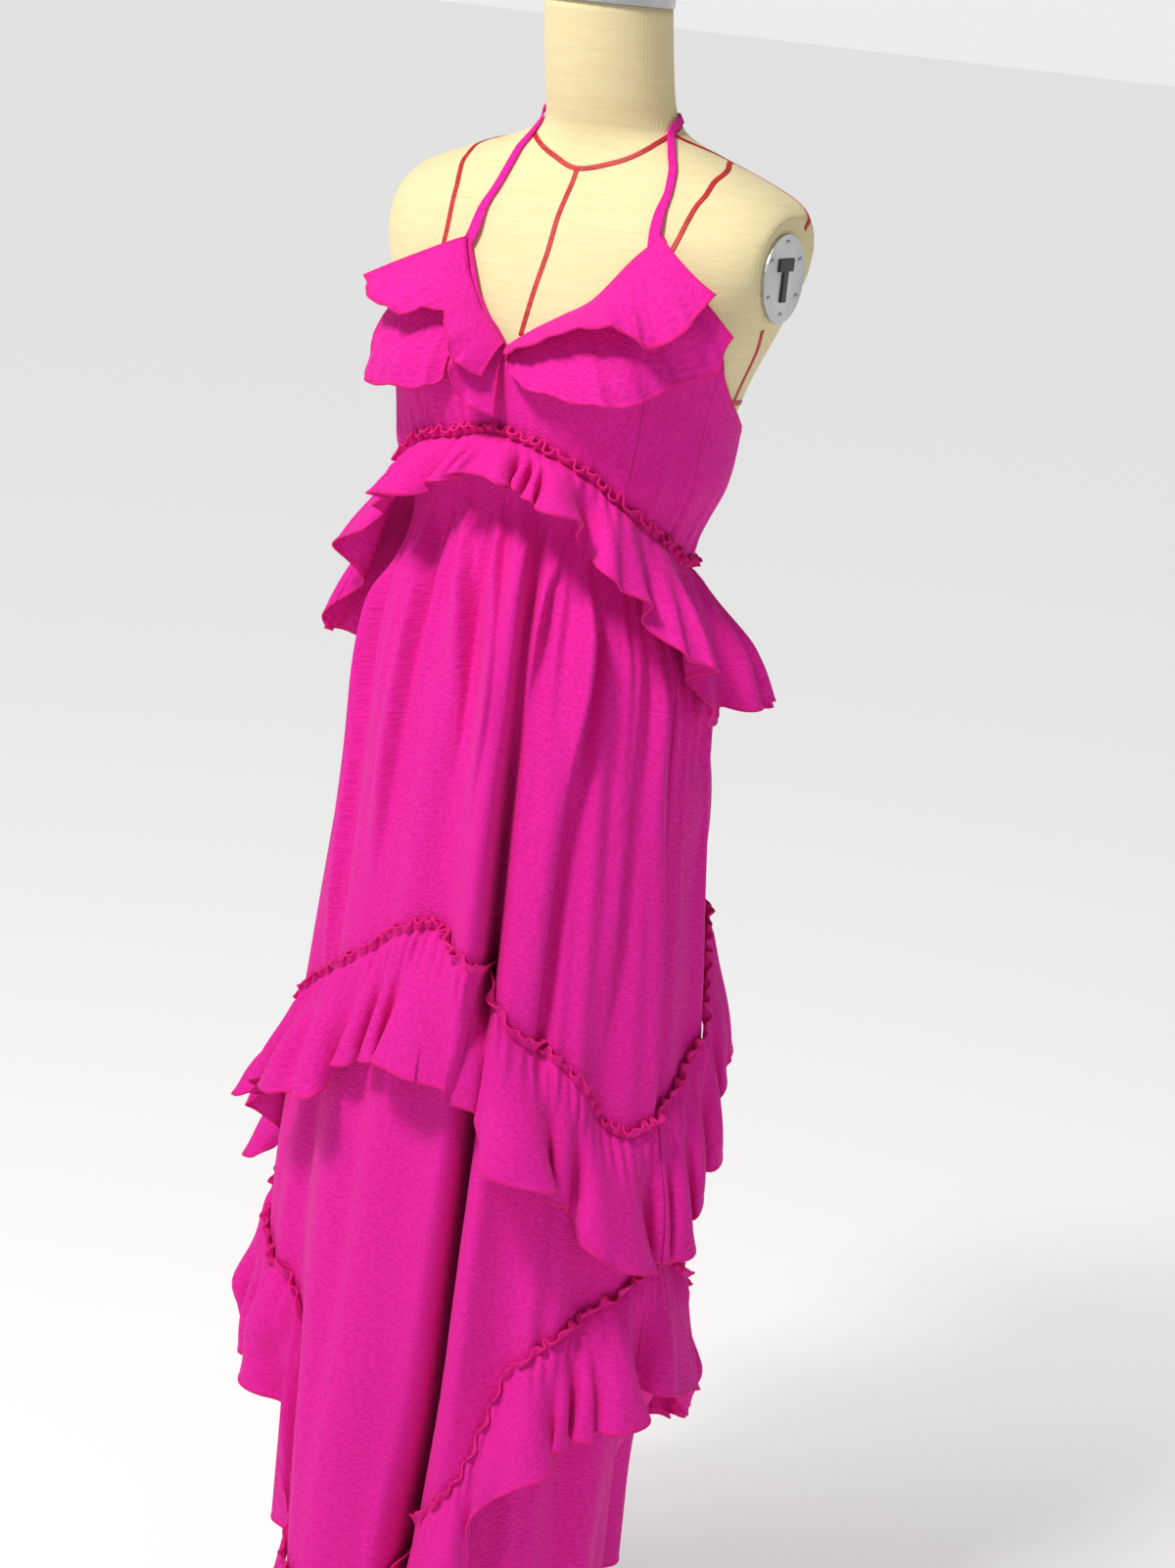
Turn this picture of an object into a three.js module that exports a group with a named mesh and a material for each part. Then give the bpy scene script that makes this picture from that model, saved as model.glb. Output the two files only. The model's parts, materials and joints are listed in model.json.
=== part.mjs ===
// A ruffled halter maxi dress on a limbless dress form with its stand.
// Millimetres, +Z up. The front faces -Y and the wearer's left is +X.
// The origin is on the floor under the pole.
// An angle goes round the body: 0 is the centre front, 90 the wearer's left, 180 the centre back.
import * as THREE from 'three';

// Driving sizes
const CLOTH = 1.4;
const SEAM_GAP = 0.3;
const BODY_CLEARANCE = 1.0;
const CUP_EASE = { out: 4.6, from: 1225, to: 1275 };
const COLUMN = 4;
const HEM_HEIGHT = 110;
const SIDE_SEAM = 76;
const LEFT_PRINCESS = 52;
const RIGHT_PRINCESS = -36;
const HEADER = 9;
const GATHER = 2 * COLUMN;

function table(names, rows) {
  return Object.fromEntries(names.map((name, column) => [name, rows.map((row) => row[column])]));
}

// The torso and neck from the hip up: a rounded oval at each height
const FORM = table(['height', 'halfWidth', 'front', 'back', 'corner', 'centre'], [
  [640, 138, 92, 100, 2.2, 0],
  [720, 152, 102, 115, 2.2, 0],
  [800, 157, 105, 122, 2.2, 0],
  [880, 155, 103, 118, 2.2, 0],
  [960, 136, 96, 98, 2.2, 0],
  [1029, 116, 88, 84, 2.1, 0],
  [1086, 122, 92, 90, 2.1, 2],
  [1154, 134, 100, 98, 2.1, 4],
  [1190, 143, 104, 104, 2.2, 5],
  [1221, 153, 106, 108, 2.2, 6],
  [1258, 168, 102, 112, 2.3, 8],
  [1290, 178, 96, 110, 2.6, 12],
  [1315, 184, 88, 106, 2.9, 16],
  [1338, 185, 82, 94, 3.0, 23],
  [1355, 180, 76, 80, 2.9, 31],
  [1370, 165, 73, 62, 2.7, 41],
  [1384, 133, 70, 50, 2.4, 46],
  [1398, 94, 66, 42, 2.1, 46],
  [1411, 66, 60, 42, 2.0, 39],
  [1424, 57, 54, 49, 2.0, 28],
  [1440, 55, 51, 52, 2.0, 19],
  [1475, 54, 51, 53, 2.0, 9],
  [1513, 53, 52, 53, 2.0, 1],
]);
const FORM_BOTTOM = 640;
const EXTRA_RINGS = [995, 1058, 1120, 1205, 1240, 1274, 1304, 1418, 1432];
const NECK_TOP = 1513;
const ARM_FACET = 176;
const BUST = { angle: 36, height: 1215, out: 22, spread: 24, above: 48, below: 48 };
const BUST_CLOTH = { angle: 36, height: 1215, out: 22, spread: 30, above: 52, below: 100 };

// The bodice stands off the side and back where it blouses over the waist
const BLOUSE = { out: 13, height: 1138, above: 55, below: 36, from: 35, to: 62 };

// The skirt between the waist seam and the hem
const SKIRT = table(['height', 'halfWidth', 'front', 'back'], [
  [110, 188, 188, 148],
  [400, 188, 187, 148],
  [500, 190, 183, 152],
  [700, 177, 165, 145],
  [800, 168, 158, 132],
  [890, 160, 150, 126],
  [970, 155, 140, 118],
  [1060, 140, 124, 100],
  [1170, 132, 112, 98],
]);
const SKIRT_CORNER = 2.1;
const SKIRT_SPRING = 120;
const SKIRT_GATHERS = { out: 1.6, start: 25, fade: 60, end: 200 };
const CREASE_START = 80;
const HIP_CLEARANCE = 4;
const FLUTE = { angle: -11, spread: 16, out: 20, from: 250, to: 480 };
const DEEP_CREASE = { from: 12, to: 28, followed: 0.5 };

// Hanging folds of the skirt: where each crease runs and how deep it is
const CREASE_HEIGHTS = [110, 600, 1060];
const CREASES = table(['hem', 'knee', 'waist', 'hemDepth', 'kneeDepth', 'waistDepth', 'spread'], [
  [-166, -168, -170, 20, 8, 3, 7],
  [-146, -147, -148, 22, 10, 3, 7],
  [-122, -124, -126, 20, 9, 3, 7],
  [-100, -102, -104, 6, 8, 3, 7],
  [-62, -62, -62, 2, 7, 3, 6],
  [-24, -39, -46, 16, 14, 2, 8],
  [-8, -16, -22, 0, 5, 4, 6],
  [6, 5, 2, 2, 5, 4, 5],
  [15, 20, 25, 44, 14, 4, 6],
  [36, 36, 46, 8, 10, 4, 6],
  [57, 58, 61, 13, 6, 2, 6],
  [90, 90, 90, 2, 5, 2, 6],
  [114, 112, 108, 2, 9, 3, 8],
  [146, 136, 130, 16, 9, 3, 7],
  [162, 155, 150, 16, 9, 3, 7],
  [174, 172, 170, 20, 8, 3, 7],
]);

// The two deep folds beside the front, which close up at the top
const DEEP_FOLDS = table(['angle', 'depth', 'spread', 'from', 'to'], [
  [-62, 54, 12, 200, 420],
  [-46, 50, 12, 200, 420],
  [-31, 44, 9, 200, 420],
  [88, 50, 12, 180, 380],
  [104, 52, 12, 180, 380],
  [119, 46, 11, 180, 380],
]);

// Seam lines that run round the body, each a height for an angle
const WAIST_LINE = table(['angle', 'height'], [
  [-180, 1058], [-130, 1059], [-100, 1066], [-80, 1092], [-60, 1118], [-39, 1146], [-20, 1157],
  [-4, 1165], [9, 1162], [22, 1156], [39, 1139], [60, 1105], [76, 1084], [91, 1065], [120, 1058], [180, 1058],
]);
const KNEE_LINE = table(['angle', 'height'], [
  [-180, 752], [-140, 740], [-115, 655], [-90, 572], [-75, 577], [-60, 622], [-47, 668], [-27, 701],
  [-7, 743], [4, 756], [14, 741], [24, 716], [30, 682], [47, 650], [59, 602], [67, 592], [76, 604],
  [97, 655], [112, 722], [126, 750], [145, 752], [180, 752],
]);
const ANKLE_LINE = table(['angle', 'height'], [
  [-180, 184], [-165, 240], [-145, 340], [-120, 380], [-84, 466], [-60, 440], [-46, 412], [-36, 392], [-31, 350],
  [-26, 262], [-21, 190], [-14, 160], [-3, 155], [8, 166], [20, 237], [28, 280], [39, 378], [58, 428], [83, 466], [120, 380],
  [145, 340], [165, 240], [180, 184],
]);

// Ruffle waves: where each crest stands, how far it stands out at the hem and how long the drop is there
const WAIST_WAVES = table(['crest', 'out', 'trough', 'drop'], [
  [-157, 44, 20, 120],
  [-134, 46, 22, 122],
  [-111, 48, 22, 126],
  [-86, 47, 18, 132],
  [-58, 42, 20, 66],
  [-28, 44, 20, 46],
  [4, 42, 18, 28],
  [28, 42, 20, 36],
  [52, 46, 16, 64],
  [69, 52, 16, 90],
  [85, 16, 14, 128],
  [104, 38, 18, 106],
  [128, 50, 22, 122],
  [153, 46, 22, 120],
  [178, 44, 20, 118],
]);
const KNEE_WAVES = table(['crest', 'out', 'trough', 'drop'], [
  [-166, 32, 10, 112],
  [-139, 34, 8, 112],
  [-112, 34, 8, 110],
  [-85, 38, 10, 110],
  [-61, 31, 10, 70],
  [-32, 32, 8, 104],
  [9, 26, 6, 108],
  [34, 34, 8, 104],
  [62, 32, 6, 108],
  [84, 14, 6, 128],
  [103, 8, 4, 122],
  [122, 14, 6, 108],
  [144, 32, 8, 112],
  [166, 32, 10, 112],
]);
const ANKLE_WAVES = table(['crest', 'out', 'trough', 'drop'], [
  [-168, 30, 8, 104],
  [-145, 30, 8, 104],
  [-121, 30, 8, 104],
  [-94, 34, 8, 104],
  [-62, 32, 10, 122],
  [-40, 24, 6, 104],
  [-12, 22, 6, 76],
  [9, 24, 6, 86],
  [27, 26, 6, 90],
  [45, 30, 8, 92],
  [64, 30, 8, 98],
  [88, 34, 8, 112],
  [119, 32, 8, 104],
  [145, 30, 8, 104],
  [168, 30, 8, 104],
]);

// A ruffle's stitched header, with its fine gathers, and how the drop below it swings out
const RUFFLE_SEAM = { lift: CLOTH + SEAM_GAP + 0.6, gather: 0.6 };
const RUFFLE_HEADER = { lift: CLOTH + 4.4, gather: 1.8 };
const RUFFLE_HANG = { lift: 2.2, overFold: 5, gather: 1.2, rise: 0.85, flattened: 0.75, dip: 5, swing: 2.2 };

// Half a seam gap is turned into an angle at these radii
const SEAM_RADIUS = { bodice: 130, waist: 125, skirt: 180 };

// Bodice top edges
const LEFT_NECKLINE = table(['angle', 'height'], [
  [0, 1237], [13, 1257], [27, 1274], [34, 1288], [44, 1317], [52, 1339],
]);
const RIGHT_NECKLINE = table(['angle', 'height'], [
  [-36, 1318], [-27, 1296], [-15, 1267], [-6, 1250], [0, 1237],
]);
const BACK_EDGE = table(['angle', 'height'], [
  [52, 1339], [55, 1318], [58, 1306], [63, 1289], [74, 1248], [80, 1226], [90, 1203], [105, 1181], [130, 1160],
  [180, 1150], [230, 1160], [255, 1181], [270, 1200], [284, 1236], [300, 1262], [306, 1275], [313, 1280],
  [319, 1297], [324, 1318],
]);

// Bust flounces: from a place on the neckline to a place on the hem, and how far the hem stands out
const FLOUNCE_COLUMNS = ['fromAngle', 'fromHeight', 'toAngle', 'toHeight', 'out'];
const LEFT_LOWER = table(FLOUNCE_COLUMNS, [
  [1, 1236, 3, 1226, 8],
  [5, 1243, 8, 1216, 16],
  [11, 1252, 14, 1210, 20],
  [17, 1260, 22, 1207, 22],
  [23, 1268, 31, 1205, 26],
  [29, 1276, 39, 1205, 30],
  [35, 1288, 47, 1208, 26],
  [40, 1303, 55, 1221, 18],
  [44, 1315, 61, 1228, 16],
  [48, 1326, 68, 1235, 24],
  [51, 1334, 72, 1250, 20],
]);
const LEFT_UPPER = table(FLOUNCE_COLUMNS, [
  [1, 1238, 3, 1232, 14],
  [5, 1245, 8, 1238, 26],
  [11, 1254, 14, 1245, 30],
  [17, 1262, 20, 1253, 34],
  [23, 1270, 26, 1262, 40],
  [29, 1278, 33, 1267, 44],
  [35, 1290, 39, 1268, 40],
  [40, 1305, 44, 1258, 38],
  [44, 1317, 49, 1256, 34],
  [48, 1328, 56, 1270, 34],
  [51, 1337, 63, 1288, 26],
]);
const RIGHT_LOWER = table(FLOUNCE_COLUMNS, [
  [-35, 1313, -58, 1206, 20],
  [-33, 1306, -54, 1190, 26],
  [-30, 1298, -44, 1189, 28],
  [-26, 1287, -33, 1192, 24],
  [-22, 1278, -25, 1195, 18],
  [-18, 1269, -20, 1206, 12],
  [-14, 1260, -16, 1226, 18],
  [-10, 1253, -12, 1216, 30],
  [-6, 1246, -8, 1190, 26],
  [-1, 1236, 2, 1181, 16],
]);
const RIGHT_UPPER = table(FLOUNCE_COLUMNS, [
  [-35, 1316, -57, 1262, 34],
  [-33, 1309, -47, 1260, 40],
  [-30, 1301, -38, 1257, 42],
  [-26, 1290, -31, 1253, 38],
  [-22, 1281, -25, 1260, 30],
  [-18, 1272, -20, 1258, 26],
  [-14, 1263, -15, 1246, 34],
  [-10, 1256, -11, 1234, 40],
  [-6, 1249, -8, 1222, 38],
  [-1, 1239, -2, 1214, 26],
]);
const LOWER_LAYER = { seat: 2.2, rise: 0.9 };
const UPPER_LAYER = { seat: 5.0, rise: 0.7 };

// Halter straps: from each cup's peak up the chest and round the back of the neck
const STRAP_WIDTH = 10;
const LEFT_STRAP = table(['along', 'angle', 'height', 'lift'], [
  [0, 51, 1340.5, 5.6], [1, 52, 1361, 2], [2, 54, 1383, 1.8], [3, 60, 1401, 1.8], [4, 78, 1417, 1.8],
  [5, 104, 1424, 1.6], [6, 142, 1425, 1.4], [7, 179.85, 1425, 1.4],
]);
const RIGHT_STRAP = table(['along', 'angle', 'height', 'lift'], [
  [0, -36.5, 1319.5, 5.6], [1, -39, 1342, 2], [2, -40.5, 1364, 1.8], [3, -43, 1386, 1.8],
  [4, -49, 1405, 1.8], [5, -68, 1419, 1.8], [6, -104, 1425, 1.6], [7, -142, 1425, 1.4], [8, -179.85, 1425, 1.4],
]);

// Arm plates, neck cap and stand
const PLATE = { radius: 36.5, thick: 2.5, y: 17, height: 1311 };
const SLOT = { barWidth: 26, barHeight: 11, stemWidth: 9, stemHeight: 25, top: 17 };
const KEY_PROUD = 1.5;
const CAP = { radius: 54.5, height: 20, dome: 4 };
const POLE_RADIUS = 14;
const FLANGE = { radius: 60, thick: 8 };
const LEG = { reach: 215, halfWidth: 22, thick: 12 };
const HUB = { radius: 34, height: 30 };

// Cubic through a table's rows, held level past both ends
function curve(xs, ys, x) {
  const last = xs.length - 1;
  const at = Math.min(Math.max(x, xs[0]), xs[last]);
  let i = 0;
  while (i < last - 1 && at > xs[i + 1]) i += 1;
  const slope = (k) => {
    const before = Math.max(k - 1, 0);
    const after = Math.min(k + 1, last);
    return (ys[after] - ys[before]) / (xs[after] - xs[before]);
  };
  const span = xs[i + 1] - xs[i];
  const t = (at - xs[i]) / span;
  const rise = 3 * t * t - 2 * t * t * t;
  return (1 - rise) * ys[i] + rise * ys[i + 1]
    + (t * t * t - 2 * t * t + t) * span * slope(i) + (t * t * t - t * t) * span * slope(i + 1);
}

const radians = THREE.MathUtils.degToRad;
const smooth = (from, to, x) => THREE.MathUtils.smoothstep(x, from, to);
const mix = THREE.MathUtils.lerp;
const fold = (angle) => ((((angle + 180) % 360) + 360) % 360) - 180;
const fullTurn = (angle) => (fold(angle) < LEFT_PRINCESS ? fold(angle) + 360 : fold(angle));
const lineHeight = (line, angle) => curve(line.angle, line.height, fold(angle));

function oval(angle, halfWidth, front, back, corner) {
  const across = Math.abs(Math.sin(radians(angle)) / halfWidth);
  const along = Math.cos(radians(angle));
  const forward = Math.abs(along / (along > 0 ? front : back));
  return (across ** corner + forward ** corner) ** (-1 / corner);
}

const centreY = (height) => curve(FORM.height, FORM.centre, height);

function place(angle, radius, height) {
  const a = radians(angle);
  return new THREE.Vector3(radius * Math.sin(a), centreY(height) - radius * Math.cos(a), height);
}

function torso(angle, height) {
  const [halfWidth, front, back, corner] = ['halfWidth', 'front', 'back', 'corner']
    .map((column) => curve(FORM.height, FORM[column], height));
  return oval(angle, halfWidth, front, back, corner);
}

function bust(angle, height, shape) {
  const rise = (height - shape.height) / (height > shape.height ? shape.above : shape.below);
  return [-shape.angle, shape.angle].reduce((sum, peak) => {
    const inner = Math.abs(fold(angle)) < shape.angle;
    const turn = fold(angle - peak) / (inner ? shape.spread : BUST.spread);
    return sum + shape.out * Math.exp(-turn * turn - rise * rise);
  }, 0);
}

function formRadius(angle, height) {
  const facet = ARM_FACET / Math.max(Math.abs(Math.sin(radians(angle))), 0.001);
  return Math.min(torso(angle, height) + bust(angle, height, BUST), facet);
}

function bodiceRadius(angle, height) {
  const rise = (height - BLOUSE.height) / (height > BLOUSE.height ? BLOUSE.above : BLOUSE.below);
  const blouse = BLOUSE.out * smooth(BLOUSE.from, BLOUSE.to, Math.abs(fold(angle))) * Math.exp(-rise * rise);
  const ease = BODY_CLEARANCE + CUP_EASE.out * smooth(CUP_EASE.from, CUP_EASE.to, height);
  return torso(angle, height) + bust(angle, height, BUST_CLOTH) + ease + CLOTH / 2 + blouse;
}

function skirtEnvelope(angle, height) {
  const [halfWidth, front, back] = ['halfWidth', 'front', 'back']
    .map((column) => curve(SKIRT.height, SKIRT[column], height));
  const turn = fold(angle - FLUTE.angle) / FLUTE.spread;
  const flute = FLUTE.out * Math.exp(-turn * turn) * (1 - smooth(FLUTE.from, FLUTE.to, height));
  return oval(angle, halfWidth, front, back, SKIRT_CORNER) + flute;
}

function creases(angle, height) {
  return CREASES.spread.reduce((sum, spread, k) => {
    const at = curve(CREASE_HEIGHTS, [CREASES.hem[k], CREASES.knee[k], CREASES.waist[k]], height);
    const depths = [CREASES.hemDepth[k], CREASES.kneeDepth[k], CREASES.waistDepth[k]];
    const turn = fold(angle - at) / spread;
    return sum + curve(CREASE_HEIGHTS, depths, height) * Math.exp(-turn * turn);
  }, deepFolds(angle, height));
}

function deepFolds(angle, height) {
  return DEEP_FOLDS.angle.reduce((sum, at, k) => {
    const turn = fold(angle - at) / DEEP_FOLDS.spread[k];
    const share = 1 - smooth(DEEP_FOLDS.from[k], DEEP_FOLDS.to[k], height);
    return sum + DEEP_FOLDS.depth[k] * share * Math.exp(-turn * turn);
  }, 0);
}

const gatherWave = (angle) => Math.cos(radians((360 * angle) / GATHER));

function skirtRadius(angle, height) {
  const drop = lineHeight(WAIST_LINE, angle) - height;
  const { out, start, fade, end } = SKIRT_GATHERS;
  const gathers = out * gatherWave(angle) * smooth(0, start, drop) * (1 - smooth(fade, end, drop));
  const hung = skirtEnvelope(angle, height) - creases(angle, height) * smooth(0, CREASE_START, drop) + gathers;
  const resting = formRadius(angle, height) + HIP_CLEARANCE;
  return mix(bodiceRadius(angle, height), Math.max(hung, resting), smooth(0, SKIRT_SPRING, drop));
}

// Rows of the skirt, from the waist seam through both ruffle lines to the hem
const SKIRT_ROWS = [
  (angle) => lineHeight(WAIST_LINE, angle) - SEAM_GAP / 2,
  (angle) => lineHeight(WAIST_LINE, angle) - 18,
  (angle) => lineHeight(WAIST_LINE, angle) - 60,
  (angle) => lineHeight(WAIST_LINE, angle) - 130,
  (angle) => mix(lineHeight(WAIST_LINE, angle) - 130, lineHeight(KNEE_LINE, angle), 0.33),
  (angle) => mix(lineHeight(WAIST_LINE, angle) - 130, lineHeight(KNEE_LINE, angle), 0.66),
  (angle) => lineHeight(KNEE_LINE, angle),
  (angle) => mix(lineHeight(KNEE_LINE, angle), lineHeight(ANKLE_LINE, angle), 0.4),
  (angle) => mix(lineHeight(KNEE_LINE, angle), lineHeight(ANKLE_LINE, angle), 0.75),
  (angle) => lineHeight(ANKLE_LINE, angle),
  () => HEM_HEIGHT,
];
const KNEE_ROW = 6;
const ANKLE_ROW = 9;

function skirtPoint(angle, row) {
  const height = SKIRT_ROWS[row](angle);
  return place(angle, skirtRadius(angle, height), height);
}

// The way out of a sheet at a grid place, from its neighbours along and down
function outward(point, u, stepU, v, above, below, open) {
  const left = open && open.start === u ? point(u, v) : point(u - stepU, v);
  const right = open && open.end === u ? point(u, v) : point(u + stepU, v);
  const down = point(u, below).sub(point(u, above));
  return down.cross(right.sub(left)).normalize();
}

// A closed wall of cloth, half its thickness to each side of the grid point(u, v)
function clothWall(us, stepU, vs, point, open) {
  const outer = [];
  const inner = [];
  us.forEach((u) => {
    const column = [[], []];
    vs.forEach((v, j) => {
      const centre = point(u, v);
      const above = vs[Math.max(j - 1, 0)];
      const below = vs[Math.min(j + 1, vs.length - 1)];
      const out = outward(point, u, stepU, v, above, below, open).multiplyScalar(CLOTH / 2);
      column[0].push(centre.clone().add(out));
      column[1].push(centre.clone().sub(out));
    });
    outer.push(column[0]);
    inner.push(column[1]);
  });
  return wallGeometry(outer, inner);
}

// Triangles of a wall between two grids of points, closed round its border
function wallGeometry(outer, inner) {
  const columns = outer.length;
  const rows = outer[0].length;
  const positions = [...outer.flat(), ...inner.flat()].flatMap((p) => [p.x, p.y, p.z]);
  const front = (i, j) => i * rows + j;
  const back = (i, j) => columns * rows + i * rows + j;
  const faces = [];
  const quad = (a, b, c, d) => faces.push(a, b, c, a, c, d);
  for (let i = 0; i + 1 < columns; i += 1) {
    for (let j = 0; j + 1 < rows; j += 1) {
      quad(front(i, j), front(i, j + 1), front(i + 1, j + 1), front(i + 1, j));
      faces.push(back(i, j), back(i + 1, j + 1), back(i, j + 1));
      faces.push(back(i, j), back(i + 1, j), back(i + 1, j + 1));
    }
    quad(front(i, 0), front(i + 1, 0), back(i + 1, 0), back(i, 0));
    quad(front(i + 1, rows - 1), front(i, rows - 1), back(i, rows - 1), back(i + 1, rows - 1));
  }
  for (let j = 0; j + 1 < rows; j += 1) {
    quad(front(0, j + 1), front(0, j), back(0, j), back(0, j + 1));
    quad(front(columns - 1, j), front(columns - 1, j + 1), back(columns - 1, j + 1), back(columns - 1, j));
  }
  const geometry = new THREE.BufferGeometry();
  geometry.setAttribute('position', new THREE.Float32BufferAttribute(positions, 3));
  geometry.setIndex(faces);
  geometry.computeVertexNormals();
  return geometry;
}

// Column angles between two seams, drawn in by half a seam gap at both ends
function seamColumns(from, to, radius) {
  const count = Math.round((to - from) / COLUMN);
  const trim = THREE.MathUtils.radToDeg(SEAM_GAP / 2 / radius);
  return Array.from({ length: count + 1 }, (_, k) => {
    if (k === 0) return from + trim;
    return k === count ? to - trim : from + k * COLUMN;
  });
}

const parts = new THREE.Group();
const crepe = new THREE.MeshStandardMaterial({ color: 0xf0309f, roughness: 0.85 });
const formCover = new THREE.MeshStandardMaterial({ color: 0xe6dcb4, roughness: 0.9 });
const brightMetal = new THREE.MeshStandardMaterial({ color: 0xb4b8bc, roughness: 0.35, metalness: 0.9 });
const darkPlastic = new THREE.MeshStandardMaterial({ color: 0x16171a, roughness: 0.5 });
const standPaint = new THREE.MeshStandardMaterial({ color: 0x2a2b2e, roughness: 0.45, metalness: 0.4 });

function add(name, geometry, material) {
  const mesh = new THREE.Mesh(geometry, material);
  mesh.name = name;
  parts.add(mesh);
  return mesh;
}

// The form's padded torso and neck, closed top and bottom
function buildForm() {
  const columns = 40;
  const heights = [...FORM.height, ...EXTRA_RINGS].sort((a, b) => a - b);
  const rings = heights.map((height) => Array.from({ length: columns }, (_, k) => {
    const angle = (360 * k) / columns;
    return place(angle, formRadius(angle, height), height);
  }));
  const points = rings.flat();
  const bottom = points.push(place(0, 0, FORM_BOTTOM)) - 1;
  const top = points.push(place(0, 0, NECK_TOP)) - 1;
  const faces = [];
  const at = (ring, k) => ring * columns + (k % columns);
  for (let k = 0; k < columns; k += 1) {
    for (let ring = 0; ring + 1 < rings.length; ring += 1) {
      faces.push(at(ring, k), at(ring, k + 1), at(ring + 1, k + 1));
      faces.push(at(ring, k), at(ring + 1, k + 1), at(ring + 1, k));
    }
    faces.push(bottom, at(0, k + 1), at(0, k), top, at(rings.length - 1, k), at(rings.length - 1, k + 1));
  }
  const geometry = new THREE.BufferGeometry();
  const positions = points.flatMap((p) => [p.x, p.y, p.z]);
  geometry.setAttribute('position', new THREE.Float32BufferAttribute(positions, 3));
  geometry.setIndex(faces);
  geometry.computeVertexNormals();
  add('form_body', geometry, formCover);
}

function buildNeckCap() {
  const { radius, height, dome } = CAP;
  const profile = [[0, 0], [radius, 0], [radius, height - dome], [radius - dome, height], [0, height]];
  const cap = add('neck_cap', turned(profile, 32), brightMetal);
  cap.position.copy(place(0, 0, NECK_TOP + SEAM_GAP));
}

// A profile of [radius, height] turned about the upright axis
function turned(profile, segments) {
  const geometry = new THREE.LatheGeometry(profile.map(([r, h]) => new THREE.Vector2(r, h)), segments);
  return geometry.rotateX(Math.PI / 2);
}

// The outline of the T slot, grown or shrunk all round by a margin
function slotPath(kind, margin) {
  const bar = SLOT.barWidth / 2 + margin;
  const stem = SLOT.stemWidth / 2 + margin;
  const top = SLOT.top + margin;
  const under = SLOT.top - SLOT.barHeight - margin;
  const foot = SLOT.top - SLOT.barHeight - SLOT.stemHeight - margin;
  const path = new kind();
  const corners = [[-bar, top], [-bar, under], [-stem, under], [-stem, foot], [stem, foot], [stem, under],
    [bar, under], [bar, top]];
  path.setFromPoints(corners.map(([x, y]) => new THREE.Vector2(x, y)));
  return path;
}

function buildArmPlate(side, name) {
  const disc = new THREE.Shape();
  disc.absarc(0, 0, PLATE.radius, 0, 2 * Math.PI, false);
  disc.holes.push(slotPath(THREE.Path, 0));
  const plate = new THREE.ExtrudeGeometry(disc, { depth: PLATE.thick, bevelEnabled: false, curveSegments: 16 });
  const keyDepth = PLATE.thick + KEY_PROUD;
  const key = new THREE.ExtrudeGeometry(slotPath(THREE.Shape, -SEAM_GAP), { depth: keyDepth, bevelEnabled: false });
  [[plate, 'arm_plate', brightMetal], [key, 'arm_key', darkPlastic]].forEach(([geometry, label, material]) => {
    const mesh = add(`${label}_${name}`, geometry, material);
    mesh.rotation.set(Math.PI / 2, (side * Math.PI) / 2, 0, 'XYZ');
    mesh.position.set(side * (ARM_FACET + SEAM_GAP), PLATE.y, PLATE.height);
  });
}

// A cross of four round-ended legs, drawn one leg after the next
function crossOutline() {
  const { halfWidth, reach } = LEG;
  const outline = new THREE.Shape();
  const steps = 8;
  const points = [0, 90, 180, 270].flatMap((turn) => {
    const end = Array.from({ length: steps + 1 }, (_, k) => {
      const a = radians(-90 + (180 * k) / steps);
      return new THREE.Vector2(reach - halfWidth + halfWidth * Math.cos(a), halfWidth * Math.sin(a));
    });
    const crotch = new THREE.Vector2(halfWidth, halfWidth);
    return [...end, crotch].map((p) => p.rotateAround(new THREE.Vector2(), radians(turn)));
  });
  outline.setFromPoints(points);
  return outline;
}

function buildBase() {
  const cross = new THREE.ExtrudeGeometry(crossOutline(), { depth: LEG.thick, bevelEnabled: false });
  add('stand_base', cross, standPaint);
  const inside = POLE_RADIUS + SEAM_GAP;
  const low = LEG.thick + SEAM_GAP;
  const hub = [[inside, low], [HUB.radius, low], [HUB.radius - 6, low + HUB.height], [inside, low + HUB.height],
    [inside, low]];
  add('stand_hub', turned(hub, 32), standPaint);
  const poleTop = FORM_BOTTOM - SEAM_GAP;
  add('stand_pole', turned([[0, low], [POLE_RADIUS, low], [POLE_RADIUS, poleTop], [0, poleTop]], 24), brightMetal);
  const under = poleTop - FLANGE.thick;
  const flange = [[inside, under], [FLANGE.radius, under], [FLANGE.radius, poleTop], [inside, poleTop],
    [inside, under]];
  add('form_flange', turned(flange, 32), standPaint);
}

// Bodice panels between the neckline or back edge and the waist seam
const CUP_ROWS = [0, 0.12, 0.24, 0.36, 0.48, 0.62, 0.76, 0.9, 1];
const BACK_ROWS = [0, 0.25, 0.5, 0.75, 0.9, 1];

function bodicePanel(name, from, to, topHeight, rows) {
  const point = (angle, v) => {
    const top = topHeight(angle);
    const bottom = lineHeight(WAIST_LINE, angle) + SEAM_GAP / 2;
    const height = mix(top, bottom, v);
    return place(angle, bodiceRadius(angle, height), height);
  };
  const geometry = clothWall(seamColumns(from, to, SEAM_RADIUS.bodice), COLUMN, rows, point);
  add(name, geometry, crepe);
}

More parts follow.
